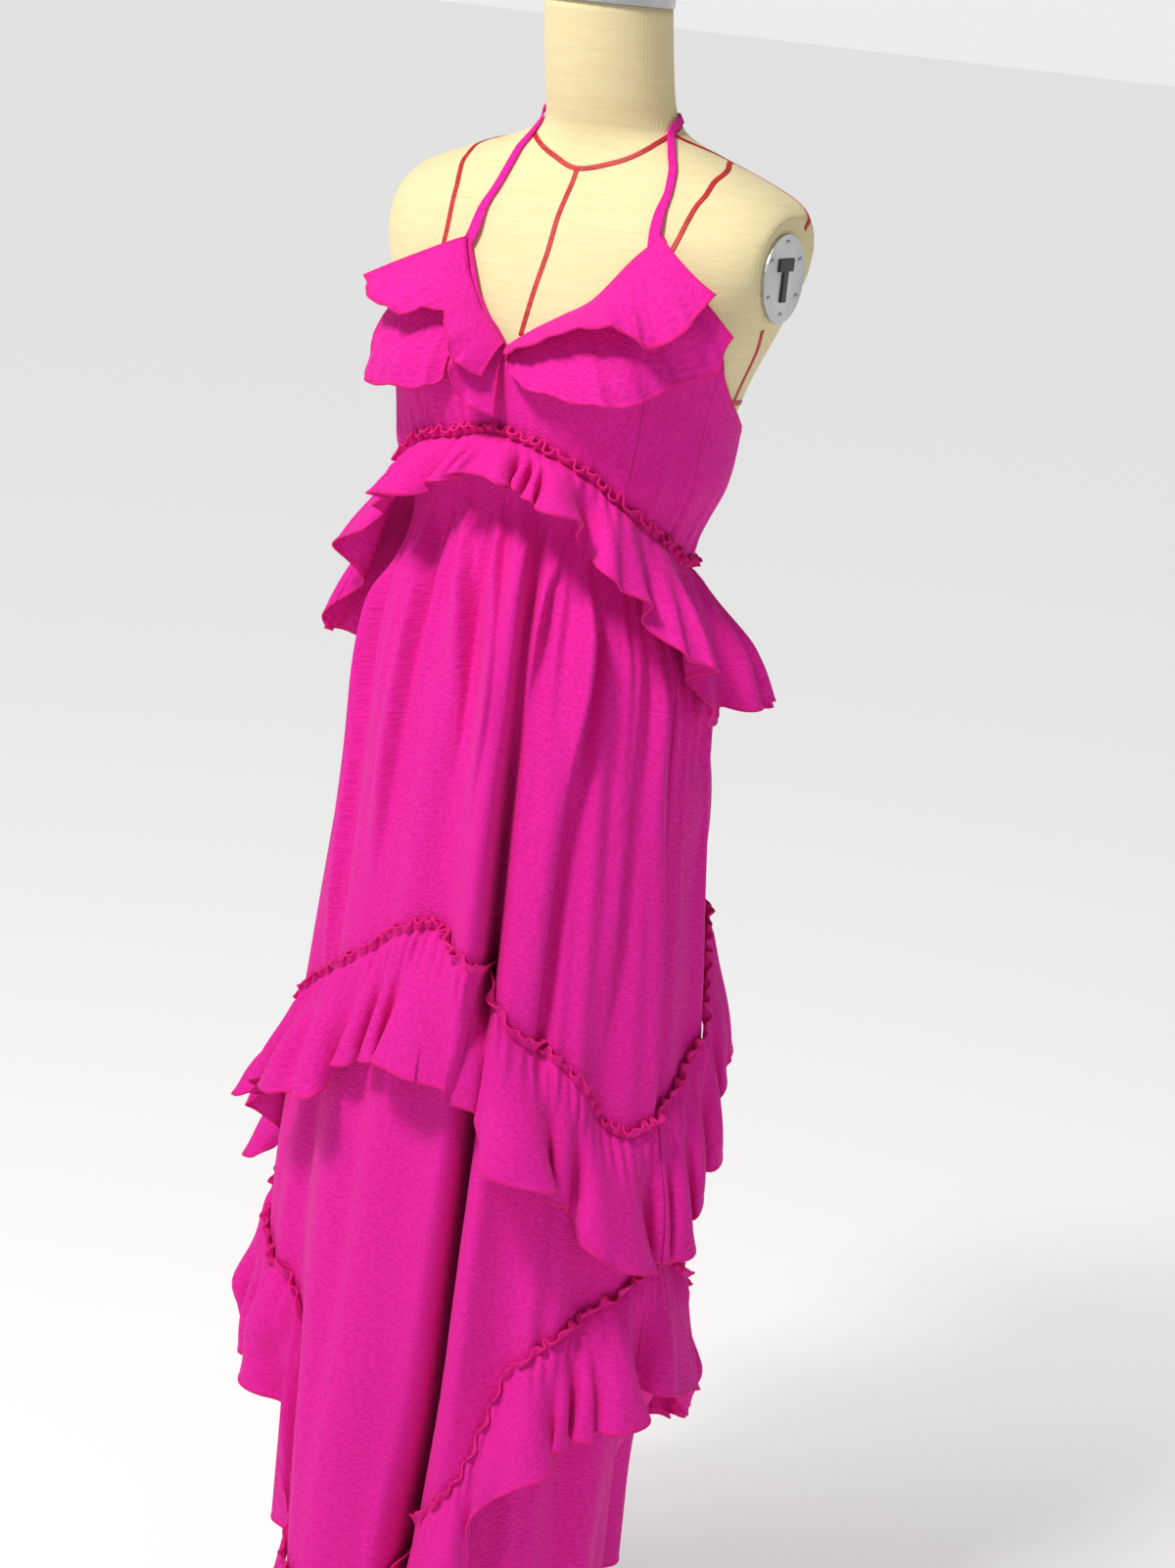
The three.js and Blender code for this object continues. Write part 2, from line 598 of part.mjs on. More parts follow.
function buildBodice() {
  const back = (angle) => curve(BACK_EDGE.angle, BACK_EDGE.height, fullTurn(angle));
  const left = (angle) => curve(LEFT_NECKLINE.angle, LEFT_NECKLINE.height, fold(angle));
  const right = (angle) => curve(RIGHT_NECKLINE.angle, RIGHT_NECKLINE.height, fold(angle));
  bodicePanel('bodice_front_left', 0, LEFT_PRINCESS, left, CUP_ROWS);
  bodicePanel('bodice_front_right', RIGHT_PRINCESS, 0, right, CUP_ROWS);
  bodicePanel('bodice_side_left', LEFT_PRINCESS, SIDE_SEAM, back, CUP_ROWS);
  bodicePanel('bodice_side_right', -SIDE_SEAM, RIGHT_PRINCESS, back, CUP_ROWS);
  bodicePanel('bodice_back', SIDE_SEAM, 360 - SIDE_SEAM, back, BACK_ROWS);
}

// A flounce of the bust: its top edge lies on the bodice, its hem stands out
function flounce(name, shape, layer) {
  const count = shape.out.length;
  const columns = Array.from({ length: count }, (_, k) => k);
  const index = columns.slice();
  const at = (column, u) => curve(index, shape[column], u);
  const point = (u, v) => {
    const angle = mix(at('fromAngle', u), at('toAngle', u), v);
    const height = mix(at('fromHeight', u), at('toHeight', u), v);
    const out = CLOTH / 2 + layer.seat + (at('out', u) - layer.seat) * v ** layer.rise;
    return place(angle, bodiceRadius(angle, height) + out, height);
  };
  const geometry = clothWall(columns, 1, [0, 0.3, 0.65, 1], point, { start: 0, end: count - 1 });
  add(name, geometry, crepe);
}

function buildFlounces() {
  flounce('flounce_lower_left', LEFT_LOWER, LOWER_LAYER);
  flounce('flounce_upper_left', LEFT_UPPER, UPPER_LAYER);
  flounce('flounce_lower_right', RIGHT_LOWER, LOWER_LAYER);
  flounce('flounce_upper_right', RIGHT_UPPER, UPPER_LAYER);
}

function buildSkirt() {
  const rows = SKIRT_ROWS.map((_, row) => row);
  const front = seamColumns(-SIDE_SEAM, SIDE_SEAM, SEAM_RADIUS.skirt);
  const back = seamColumns(SIDE_SEAM, 360 - SIDE_SEAM, SEAM_RADIUS.skirt);
  add('skirt_front', clothWall(front, COLUMN, rows, skirtPoint), crepe);
  add('skirt_back', clothWall(back, COLUMN, rows, skirtPoint), crepe);
}

// How far round its wave an angle lies, and the values of the two crests it lies between
function waveAt(waves, angle) {
  const crests = waves.crest;
  const count = crests.length;
  const here = fold(angle);
  let k = crests.findIndex((crest) => crest > here);
  if (k < 0) k = count;
  const before = (k + count - 1) % count;
  const after = k % count;
  const start = k === 0 ? crests[before] - 360 : crests[before];
  const end = k === count ? crests[after] + 360 : crests[after];
  const share = (here - start) / (end - start);
  const value = (column) => mix(waves[column][before], waves[column][after], smooth(0, 1, share));
  return { turn: 2 * Math.PI * share, out: value('out'), trough: value('trough'), drop: value('drop') };
}

// What a ruffle hangs over: it bridges shallow folds of the skirt and sinks into deep ones
function ruffleBed(angle, height) {
  const crease = creases(angle, height);
  const sunk = DEEP_CREASE.followed * crease * smooth(DEEP_CREASE.from, DEEP_CREASE.to, crease);
  return skirtEnvelope(angle, height) - sunk;
}

// A gathered ruffle: its header stands on the seam line, its hem waves in and out below
const RUFFLE_ROWS = [-1, 0, 0.3, 0.65, 1];

function ruffle(name, waves, seat, seamRadius) {
  const surface = (angle, v) => {
    const foot = seat(angle);
    const gathers = gatherWave(angle);
    const stitched = v < 0 ? RUFFLE_HEADER : RUFFLE_SEAM;
    const lift = stitched.lift + stitched.gather * gathers;
    if (v < 0) return foot.header.addScaledVector(foot.normal, lift);
    if (v === 0) return foot.point.addScaledVector(foot.normal, lift);
    const wave = waveAt(waves, angle);
    const drop = wave.drop + RUFFLE_HANG.dip * Math.cos(wave.turn);
    const height = foot.point.z - drop * v;
    const deep = smooth(DEEP_CREASE.from, DEEP_CREASE.to, creases(angle, height));
    const crest = 0.5 + 0.5 * Math.cos(wave.turn);
    const reach = mix(wave.trough, wave.out, crest) * (1 - RUFFLE_HANG.flattened * deep);
    const swing = RUFFLE_HANG.swing * Math.sin(wave.turn) * v * v;
    const seated = Math.hypot(foot.point.x, foot.point.y - centreY(foot.point.z));
    const short = Math.max(ruffleBed(angle, foot.point.z) - seated, 0) * (1 - smooth(0, 0.6, v));
    const lifted = RUFFLE_HANG.lift + RUFFLE_HANG.overFold * deep + RUFFLE_HANG.gather * gathers * (1 - v);
    const out = lifted + reach * v ** RUFFLE_HANG.rise - short;
    return place(angle + swing, Math.max(ruffleBed(angle, height), seated) + out, height);
  };
  [['front', -SIDE_SEAM, SIDE_SEAM], ['back', SIDE_SEAM, 360 - SIDE_SEAM]].forEach(([half, from, to]) => {
    const columns = seamColumns(from, to, seamRadius);
    add(`${name}_${half}`, clothWall(columns, COLUMN, RUFFLE_ROWS, surface), crepe);
  });
}

// Where a ruffle is sewn to the skirt's row, and where its header's edge lies above that
function skirtSeat(row, above) {
  return (angle) => {
    const point = skirtPoint(angle, row);
    const normal = outward(skirtPoint, angle, COLUMN, row, Math.max(row - 1, 0), row + 1);
    const height = point.z + HEADER;
    return { point, normal, header: place(angle, above(angle, height), height) };
  };
}

function buildRuffles() {
  ruffle('waist_ruffle', WAIST_WAVES, skirtSeat(0, bodiceRadius), SEAM_RADIUS.waist);
  ruffle('knee_ruffle', KNEE_WAVES, skirtSeat(KNEE_ROW, skirtRadius), SEAM_RADIUS.skirt);
  ruffle('ankle_ruffle', ANKLE_WAVES, skirtSeat(ANKLE_ROW, skirtRadius), SEAM_RADIUS.skirt);
}

// A flat band that follows the form
function strap(name, route) {
  const last = route.along.length - 1;
  const steps = 3 * last;
  const form = (angle, height) => place(angle, formRadius(angle, height), height);
  const seatAt = (s) => {
    const angle = curve(route.along, route.angle, s);
    const height = curve(route.along, route.height, s);
    const east = form(angle + 2, height).sub(form(angle - 2, height));
    const up = form(angle, height + 4).sub(form(angle, height - 4));
    const normal = east.cross(up).normalize();
    const lift = curve(route.along, route.lift, s) + CLOTH / 2;
    return { normal, point: form(angle, height).addScaledVector(normal, lift) };
  };
  const outer = [];
  const inner = [];
  for (let k = 0; k <= steps; k += 1) {
    const s = (last * k) / steps;
    const { point, normal } = seatAt(s);
    const ahead = seatAt(Math.min(s + 0.1, last)).point.sub(seatAt(Math.max(s - 0.1, 0)).point).normalize();
    const across = ahead.clone().cross(normal).normalize();
    const corner = (side, face) => point.clone().addScaledVector(across, (side * STRAP_WIDTH) / 2)
      .addScaledVector(normal, (face * CLOTH) / 2);
    outer.push([corner(-1, 1), corner(1, 1)]);
    inner.push([corner(-1, -1), corner(1, -1)]);
  }
  add(name, wallGeometry(outer, inner), crepe);
}

buildForm();
buildNeckCap();
buildArmPlate(1, 'left');
buildArmPlate(-1, 'right');
buildBase();
buildBodice();
buildSkirt();
buildRuffles();
buildFlounces();
strap('halter_strap_left', LEFT_STRAP);
strap('halter_strap_right', RIGHT_STRAP);

export default parts;
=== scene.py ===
# %% [markdown]
# # A ruffled halter maxi dress on a dress form
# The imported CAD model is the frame. The dress is sewn from nineteen pieces, and each of them stands for
# one CAD solid here: it follows the same tables, with finer gathers, folds and edges. Tables and shapes
# are in millimetres, objects in metres.

# %% Load the frame
import json
import math

import bpy
import numpy as np
from mathutils import Matrix, Vector

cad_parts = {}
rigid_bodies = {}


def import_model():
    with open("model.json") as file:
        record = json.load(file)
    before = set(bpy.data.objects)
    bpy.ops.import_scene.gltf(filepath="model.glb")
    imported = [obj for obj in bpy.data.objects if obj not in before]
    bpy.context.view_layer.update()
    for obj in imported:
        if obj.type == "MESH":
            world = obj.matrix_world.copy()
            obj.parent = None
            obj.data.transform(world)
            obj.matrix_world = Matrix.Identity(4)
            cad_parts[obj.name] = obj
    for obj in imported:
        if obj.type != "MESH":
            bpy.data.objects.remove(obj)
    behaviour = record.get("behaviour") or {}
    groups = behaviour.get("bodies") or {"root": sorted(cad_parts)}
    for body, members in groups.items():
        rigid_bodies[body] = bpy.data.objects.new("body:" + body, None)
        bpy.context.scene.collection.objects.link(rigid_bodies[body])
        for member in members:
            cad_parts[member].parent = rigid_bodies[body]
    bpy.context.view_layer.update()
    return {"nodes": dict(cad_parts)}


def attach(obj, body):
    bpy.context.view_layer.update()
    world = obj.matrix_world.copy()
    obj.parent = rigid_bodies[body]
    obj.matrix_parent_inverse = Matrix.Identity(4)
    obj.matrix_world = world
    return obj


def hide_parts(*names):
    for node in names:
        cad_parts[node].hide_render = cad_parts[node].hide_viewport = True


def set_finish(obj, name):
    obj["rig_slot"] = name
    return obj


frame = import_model()

# %% [markdown]
# ## Camera
# The picture was taken from the wearer's left of the front, from above the bust, with the camera held
# slightly tilted. A camera could be aimed with a constraint, but a tilt is easier to state when its
# three axes are built by hand from an azimuth, a pitch and a roll.

# %% Camera
AZIMUTH, PITCH, ROLL = (math.radians(a) for a in (28, 14.1, 6))
DISTANCE, ASIDE, EYE_HEIGHT = 2.8, 0.0498, 1.56
SENSOR = 36
FOCAL_PIXELS, FRAME_PIXELS = 3410, 1601

back = Vector((math.sin(AZIMUTH), -math.cos(AZIMUTH), 0))
aside = Vector((math.cos(AZIMUTH), math.sin(AZIMUTH), 0))
ahead = -back * math.cos(PITCH) - Vector((0, 0, math.sin(PITCH)))
above = aside.cross(ahead)
camera_x = aside * math.cos(ROLL) + above * math.sin(ROLL)
camera_y = above * math.cos(ROLL) - aside * math.sin(ROLL)

camera = bpy.data.objects.new("camera", bpy.data.cameras.new("camera"))
bpy.context.collection.objects.link(camera)
camera.data.sensor_width = SENSOR
camera.data.lens = FOCAL_PIXELS / FRAME_PIXELS * SENSOR
camera.data.clip_end = 200
place_at = Matrix.Translation(back * DISTANCE + aside * ASIDE + Vector((0, 0, EYE_HEIGHT)))
camera.matrix_world = place_at @ Matrix((camera_x, camera_y, -ahead)).transposed().to_4x4()
bpy.context.scene.camera = camera
bpy.context.scene.view_settings.view_transform = "Standard"
print("camera:", [round(x, 2) for x in camera.matrix_world.translation])

# %% [markdown]
# ## Floor and light
# A studio picture of cloth needs light that is soft but comes from somewhere, or the folds vanish. The
# sky is white at the horizon and grey above, so it fills the shadows from the sides. One soft lamp hangs
# high in front of the dress and a weak, wide sun comes from the same side. The floor glows a little,
# which keeps it near white without lighting the cloth much.


# %% Material and light helpers
def plain_material(name, colour, roughness, metallic=0.0):
    material = bpy.data.materials.new(name)
    material.use_nodes = True
    shader = material.node_tree.nodes["Principled BSDF"]
    shader.inputs["Base Color"].default_value = (*colour, 1)
    shader.inputs["Roughness"].default_value = roughness
    shader.inputs["Metallic"].default_value = metallic
    return material


def add_light(name, kind, energy, way):
    light = bpy.data.objects.new(name, bpy.data.lights.new(name, kind))
    light.data.energy = energy
    light.rotation_euler = way.to_track_quat("-Z", "Y").to_euler()
    bpy.context.collection.objects.link(light)
    return light


# %% Sky
HORIZON_LIGHT, SKY_LIGHT = 0.84, 0.26
SKY_RANGE = {"From Min": 0.02, "From Max": 0.12, "To Min": HORIZON_LIGHT, "To Max": SKY_LIGHT}
world = bpy.data.worlds.new("studio")
bpy.context.scene.world = world
world.use_nodes = True
sky = world.node_tree.nodes["Background"]
sky.inputs["Strength"].default_value = 1.0
sky_way = world.node_tree.nodes.new("ShaderNodeTexCoord")
up_way = world.node_tree.nodes.new("ShaderNodeSeparateXYZ")
world.node_tree.links.new(sky_way.outputs["Generated"], up_way.inputs["Vector"])
shade = world.node_tree.nodes.new("ShaderNodeMapRange")
for socket, value in SKY_RANGE.items():
    shade.inputs[socket].default_value = value
world.node_tree.links.new(up_way.outputs["Z"], shade.inputs["Value"])
world.node_tree.links.new(shade.outputs["Result"], sky.inputs["Color"])
print("sky from", HORIZON_LIGHT, "to", SKY_LIGHT)

# %% Floor
HALF_FLOOR, FLOOR_GLOW = 60, 0.4
floor_mesh = bpy.data.meshes.new("floor")
floor_mesh.from_pydata([(-HALF_FLOOR, -HALF_FLOOR, 0), (HALF_FLOOR, -HALF_FLOOR, 0),
                        (HALF_FLOOR, HALF_FLOOR, 0), (-HALF_FLOOR, HALF_FLOOR, 0)], [], [(0, 1, 2, 3)])
floor = bpy.data.objects.new("floor", floor_mesh)
floor_material = plain_material("floor", (0.8, 0.8, 0.8), 0.9)
floor_shader = floor_material.node_tree.nodes["Principled BSDF"]
floor_shader.inputs["Emission Color"].default_value = (1, 1, 1, 1)
floor_shader.inputs["Emission Strength"].default_value = FLOOR_GLOW
floor_mesh.materials.append(floor_material)
bpy.context.collection.objects.link(floor)
print("floor:", 2 * HALF_FLOOR, "m wide")

# %% Lamp and sun
LAMP_AT, LAMP_AIM = Vector((-0.4, -1.7, 3.15)), Vector((0, 0, 1.3))
lamp = add_light("key", "AREA", 53, LAMP_AIM - LAMP_AT)
lamp.location = LAMP_AT
lamp.data.size, lamp.data.color = 0.45, (1.0, 0.97, 0.93)
sun = add_light("sun", "SUN", 0.7, Vector((0.35, 0.6, -1.0)))
sun.data.angle = math.radians(20)

# %% [markdown]
# ## Shared shader effects
# Crepe is crinkled all over, linen shows its threads, and handled metal and plastic are smudged. Each
# effect could be drawn in every material again, but as a node group it is built once and placed where it
# is needed. A group gives a height for the bump or a share for the colour. The cloth's map is in metres
# along and across its threads, so a crinkle has its real size on every piece.


# %% Node helpers
def group(name, outputs, inputs=()):
    tree = bpy.data.node_groups.new(name, "ShaderNodeTree")
    for socket in inputs:
        tree.interface.new_socket(name=socket, in_out="INPUT", socket_type="NodeSocketVector")
    for socket in outputs:
        tree.interface.new_socket(name=socket, in_out="OUTPUT", socket_type="NodeSocketFloat")
    return tree, tree.nodes.new("NodeGroupInput"), tree.nodes.new("NodeGroupOutput")


def node(tree, kind, values=(), **settings):
    made = tree.nodes.new(kind)
    for key, value in settings.items():
        setattr(made, key, value)
    for key, value in dict(values).items():
        made.inputs[key].default_value = value
    return made


def math_node(tree, operation, first, second):
    made = node(tree, "ShaderNodeMath", operation=operation)
    for k, value in enumerate((first, second)):
        if isinstance(value, (int, float)):
            made.inputs[k].default_value = value
        else:
            tree.links.new(value, made.inputs[k])
    return made.outputs[0]


def stretched_noise(tree, vector, scale, detail=2.0, distortion=0.0):
    """Noise on a map stretched by scale along each of its axes."""
    mapping = node(tree, "ShaderNodeMapping", {"Scale": scale})
    tree.links.new(vector, mapping.inputs["Vector"])
    noise = node(tree, "ShaderNodeTexNoise", {"Scale": 1.0, "Detail": detail, "Distortion": distortion})
    tree.links.new(mapping.outputs["Vector"], noise.inputs["Vector"])
    return noise.outputs["Fac"]


def crinkle_group():
    """Crinkles of crepe: short raised ridges across the cloth's length, with a fine grain over them."""
    tree, source, result = group("crepe crinkle", ["Height", "Ridge", "Patch"], ["Map"])
    ridges = stretched_noise(tree, source.outputs["Map"], (210, 400, 1), 2.0, 0.35)
    grain = stretched_noise(tree, source.outputs["Map"], (900, 1300, 1), 1.0)
    patch = stretched_noise(tree, source.outputs["Map"], (9, 14, 1), 2.0)
    height = math_node(tree, "ADD", ridges, math_node(tree, "MULTIPLY", grain, 0.12))
    tree.links.new(height, result.inputs["Height"])
    tree.links.new(ridges, result.inputs["Ridge"])
    tree.links.new(patch, result.inputs["Patch"])
    return tree


def weave_group():
    """Plain linen weave from two crossed bands, with slubs where a thread is thicker."""
    tree, source, result = group("linen weave", ["Height", "Slub"], ["Map"])
    bands = []
    for direction in ("X", "Z"):
        wave = node(tree, "ShaderNodeTexWave", {"Scale": 180.0, "Distortion": 1.2, "Detail": 1.0},
                    bands_direction=direction)
        tree.links.new(source.outputs["Map"], wave.inputs["Vector"])
        bands.append(wave.outputs["Fac"])
    slub = stretched_noise(tree, source.outputs["Map"], (30, 30, 400), 2.0)
    height = math_node(tree, "ADD", math_node(tree, "ADD", *bands), math_node(tree, "MULTIPLY", slub, 1.4))
    tree.links.new(height, result.inputs["Height"])
    tree.links.new(slub, result.inputs["Slub"])
    return tree


def wear_group():
    """Uneven handling marks and fine scratches on metal, paint and plastic."""
    tree, source, result = group("handled surface", ["Smudge", "Scratch"], ["Map"])
    smudge = stretched_noise(tree, source.outputs["Map"], (24, 24, 24), 4.0)
    scratch = stretched_noise(tree, source.outputs["Map"], (60, 1500, 900), 2.0)
    tree.links.new(smudge, result.inputs["Smudge"])
    tree.links.new(scratch, result.inputs["Scratch"])
    return tree


CRINKLE, WEAVE, WEAR = crinkle_group(), weave_group(), wear_group()
print("node groups:", [g.name for g in bpy.data.node_groups])


# %% [markdown]
# ## Materials
# Five finishes come from the frame's slots: crepe, the form's linen cover, satin metal, dark plastic and
# stand paint. The red style tapes are a sixth. Each is one Principled shader whose colour varies a little
# over the surface, as does the roughness of all but linen and tape, because a flat colour looks like
# plastic in close view.


# %% Material helpers
def use_group(tree, which, coordinates):
    made = node(tree, "ShaderNodeGroup")
    made.node_tree = which
    source = node(tree, "ShaderNodeTexCoord")
    tree.links.new(source.outputs[coordinates], made.inputs["Map"])
    return made


def mix_colour(tree, share, first, second):
    mixer = node(tree, "ShaderNodeMix", data_type="RGBA")
    for socket, value in ((mixer.inputs[0], share), (mixer.inputs[6], first), (mixer.inputs[7], second)):
        if isinstance(value, tuple):
            socket.default_value = (*value, 1)
        elif isinstance(value, (int, float)):
            socket.default_value = value
        else:
            tree.links.new(value, socket)
    return mixer.outputs[2]


def ranged(tree, value, low, high, to_low=0.0, to_high=1.0):
    made = node(tree, "ShaderNodeMapRange", {1: low, 2: high, 3: to_low, 4: to_high})
    tree.links.new(value, made.inputs["Value"])
    return made.outputs["Result"]


def add_bump(tree, shader, height, strength, distance):
    bump = node(tree, "ShaderNodeBump", {"Strength": strength, "Distance": distance})
    tree.links.new(height, bump.inputs["Height"])
    tree.links.new(bump.outputs["Normal"], shader.inputs["Normal"])


# %% [markdown]
# The crepe is matt with a soft sheen. The tops of its crinkles are the bright pink, and the hollows between
# them are painted a deeper pink as shade; random patches take a little of the same deeper pink as a real
# tone. Hems and stitched edges are redder, because two layers of cloth lie there. The edges come from a
# mark that each sheet carries on its points, so no picture is needed.

# %% Crepe
CREPE_LIT = (0.82, 0.014, 0.37)
# Painted shade: the crinkle hollows are darkened to this deeper pink, which also tints random patches as a
# real tone.
CREPE_HOLLOW_SHADE_AND_PATCH = (0.70, 0.009, 0.285)
CREPE_EDGE = (0.74, 0.010, 0.19)


def crepe_material():
    material = plain_material("crepe", CREPE_LIT, 0.78)
    tree = material.node_tree
    shader = tree.nodes["Principled BSDF"]
    shader.inputs["Sheen Weight"].default_value = 0.1
    shader.inputs["Sheen Roughness"].default_value = 0.5
    shader.inputs["Sheen Tint"].default_value = (1.0, 0.35, 0.75, 1)
    shader.inputs["Specular IOR Level"].default_value = 0.18
    crinkle = use_group(tree, CRINKLE, "UV")
    # Painted shade in the crinkle hollows: low ridge values take the deeper pink. The patch mix below is a
    # real random tone.
    colour = mix_colour(tree, ranged(tree, crinkle.outputs["Ridge"], 0.32, 0.62), CREPE_HOLLOW_SHADE_AND_PATCH, CREPE_LIT)
    colour = mix_colour(tree, ranged(tree, crinkle.outputs["Patch"], 0.3, 0.75, 0.0, 0.1), colour, CREPE_HOLLOW_SHADE_AND_PATCH)
    edge = node(tree, "ShaderNodeAttribute", attribute_name="edge")
    colour = mix_colour(tree, edge.outputs["Fac"], colour, CREPE_EDGE)
    tree.links.new(colour, shader.inputs["Base Color"])
    tree.links.new(ranged(tree, crinkle.outputs["Ridge"], 0.3, 0.7, 0.86, 0.7), shader.inputs["Roughness"])
    add_bump(tree, shader, crinkle.outputs["Height"], 0.75, 0.0016)
    return material


# %% [markdown]
# The form is padded and drawn over with cream linen that has yellowed in patches. Its tapes are a narrow
# red ribbon in the same plain weave.

# %% Linen cover and tape
def linen_material():
    material = plain_material("form_cover", (0.80, 0.70, 0.41), 0.85)
    tree = material.node_tree
    shader = tree.nodes["Principled BSDF"]
    shader.inputs["Sheen Weight"].default_value = 0.15
    shader.inputs["Specular IOR Level"].default_value = 0.2
    weave = use_group(tree, WEAVE, "Object")
    stain = stretched_noise(tree, node(tree, "ShaderNodeTexCoord").outputs["Object"], (5, 5, 3), 4.0)
    colour = mix_colour(tree, ranged(tree, weave.outputs["Slub"], 0.3, 0.75), (0.82, 0.72, 0.43),
                        (0.77, 0.66, 0.37))
    colour = mix_colour(tree, ranged(tree, stain, 0.45, 0.8, 0.0, 0.35), colour, (0.68, 0.57, 0.32))
    tree.links.new(colour, shader.inputs["Base Color"])
    add_bump(tree, shader, weave.outputs["Height"], 0.25, 0.0005)
    return material


def tape_material():
    material = plain_material("style_tape", (0.42, 0.012, 0.016), 0.55)
    tree = material.node_tree
    shader = tree.nodes["Principled BSDF"]
    weave = use_group(tree, WEAVE, "Object")
    colour = mix_colour(tree, ranged(tree, weave.outputs["Slub"], 0.35, 0.7), (0.60, 0.018, 0.022),
                        (0.40, 0.01, 0.014))
    tree.links.new(colour, shader.inputs["Base Color"])
    add_bump(tree, shader, weave.outputs["Height"], 0.3, 0.0003)
    return material


# %% [markdown]
# The cap, the plates and the pole are satin metal, the keys dark plastic and the stand dark paint. All
# three wear in the same way, so one function makes them from a colour, a worn colour and a roughness.

# %% Metal, plastic and paint
def handled_material(name, colour, worn, roughness, metallic, bump):
    material = plain_material(name, colour, roughness[0], metallic)
    tree = material.node_tree
    shader = tree.nodes["Principled BSDF"]
    wear = use_group(tree, WEAR, "Object")
    mixed = mix_colour(tree, ranged(tree, wear.outputs["Smudge"], 0.4, 0.7), colour, worn)
    tree.links.new(mixed, shader.inputs["Base Color"])
    tree.links.new(ranged(tree, wear.outputs["Smudge"], 0.3, 0.7, *roughness), shader.inputs["Roughness"])
    add_bump(tree, shader, wear.outputs["Scratch"], bump, 0.0002)
    return material


HANDLED = {
    "bright_metal": {"colour": (0.62, 0.63, 0.64), "worn": (0.5, 0.51, 0.53), "roughness": (0.28, 0.42),
                     "metallic": 1.0, "bump": 0.3},
    "dark_plastic": {"colour": (0.012, 0.012, 0.014), "worn": (0.03, 0.03, 0.033), "roughness": (0.38, 0.55),
                     "metallic": 0.0, "bump": 0.3},
    "stand_paint": {"colour": (0.02, 0.02, 0.023), "worn": (0.035, 0.035, 0.04), "roughness": (0.32, 0.46),
                    "metallic": 0.2, "bump": 0.4},
}
MATERIALS = {"crepe": crepe_material(), "form_cover": linen_material(), "style_tape": tape_material()}
for name, finish in HANDLED.items():
    MATERIALS[name] = handled_material(name, **finish)
print("materials:", sorted(MATERIALS))

# %% [markdown]
# ## Tables
# A dress like this could be draped by a cloth simulation, but then its ruffles would fall where the
# solver puts them. Here every line is given by short tables of heights, angles and depths, and a
# smooth curve runs through each column. They are the tables that shape the CAD solids, so the cloth
# fits them. An angle goes round the body from the centre front, and the wearer's left is at 90.


# %% Curves through tables
def table(names, rows):
    return {name: np.array([row[k] for row in rows], float) for k, name in enumerate(names.split())}


def curve(xs, ys, x):
    """Smooth curve through a table, held level past both ends."""
    at = np.clip(np.asarray(x, float), xs[0], xs[-1])
    i = np.clip(np.searchsorted(xs, at, side="left") - 1, 0, len(xs) - 2)
    before, after = np.maximum(np.arange(len(xs)) - 1, 0), np.minimum(np.arange(len(xs)) + 1, len(xs) - 1)
    slope = (ys[after] - ys[before]) / (xs[after] - xs[before])
    span = xs[i + 1] - xs[i]
    t = (at - xs[i]) / span
    rise = 3 * t**2 - 2 * t**3
    return ((1 - rise) * ys[i] + rise * ys[i + 1] + (t**3 - 2 * t**2 + t) * span * slope[i]
            + (t**3 - t**2) * span * slope[i + 1])


def smooth(start, end, x):
    t = np.clip((np.asarray(x, float) - start) / (end - start), 0, 1)
    return t * t * (3 - 2 * t)


def mix(first, second, share):
    return first * (1 - share) + second * share


def fold(angle):
    return (np.asarray(angle, float) + 180) % 360 - 180


def line_height(line, angle):
    return curve(line["angle"], line["height"], fold(angle))


def phase(angle, count, seed, wander=1.0):
    """How far round its waves an angle lies, for about count uneven waves round the body."""
    a = np.radians(angle)
    drift = np.sin(3 * a + 1.7 * seed) + 0.7 * np.sin(7 * a + 2.9 * seed) + 0.5 * np.sin(13 * a + 4.1 * seed)
    return count * a + wander * 1.6 * drift + seed


def ripple(angle, count, seed, wander=1.0):
    """A wave of about count crests round the body, with uneven spacing, from -1 to 1."""
    return np.cos(phase(angle, count, seed, wander))


# %% Sizes of the form
FORM = table("height halfWidth front back corner centre", [
    (640, 138, 92, 100, 2.2, 0), (720, 152, 102, 115, 2.2, 0), (800, 157, 105, 122, 2.2, 0),
    (880, 155, 103, 118, 2.2, 0), (960, 136, 96, 98, 2.2, 0), (1029, 116, 88, 84, 2.1, 0),
    (1086, 122, 92, 90, 2.1, 2), (1154, 134, 100, 98, 2.1, 4), (1190, 143, 104, 104, 2.2, 5),
    (1221, 153, 106, 108, 2.2, 6), (1258, 168, 102, 112, 2.3, 8), (1290, 178, 96, 110, 2.6, 12),
    (1315, 184, 88, 106, 2.9, 16), (1338, 185, 82, 94, 3.0, 23), (1355, 180, 76, 80, 2.9, 31),
    (1370, 165, 73, 62, 2.7, 41), (1384, 133, 70, 50, 2.4, 46), (1398, 94, 66, 42, 2.1, 46),
    (1411, 66, 60, 42, 2.0, 39), (1424, 57, 54, 49, 2.0, 28), (1440, 55, 51, 52, 2.0, 19),
    (1475, 54, 51, 53, 2.0, 9), (1513, 53, 52, 53, 2.0, 1)])
FORM_BOTTOM, NECK_TOP, ARM_FACET = 640, 1513, 176
BUST = {"angle": 36, "height": 1215, "out": 22, "spread": 24, "above": 48, "below": 48}
BUST_CLOTH = {"angle": 36, "height": 1215, "out": 22, "spread": 30, "above": 52, "below": 100}
BLOUSE = {"out": 13, "height": 1138, "above": 55, "below": 36, "from": 35, "to": 62}
CLOTH, SHEET = 1.4, 0.9
SEAM_GAP = 0.3
BODY_CLEARANCE = 1.0
CUP_EASE, EASE_FROM, EASE_TO = 4.6, 1225, 1275
SIDE_SEAM, LEFT_PRINCESS, RIGHT_PRINCESS = 76, 52, -36

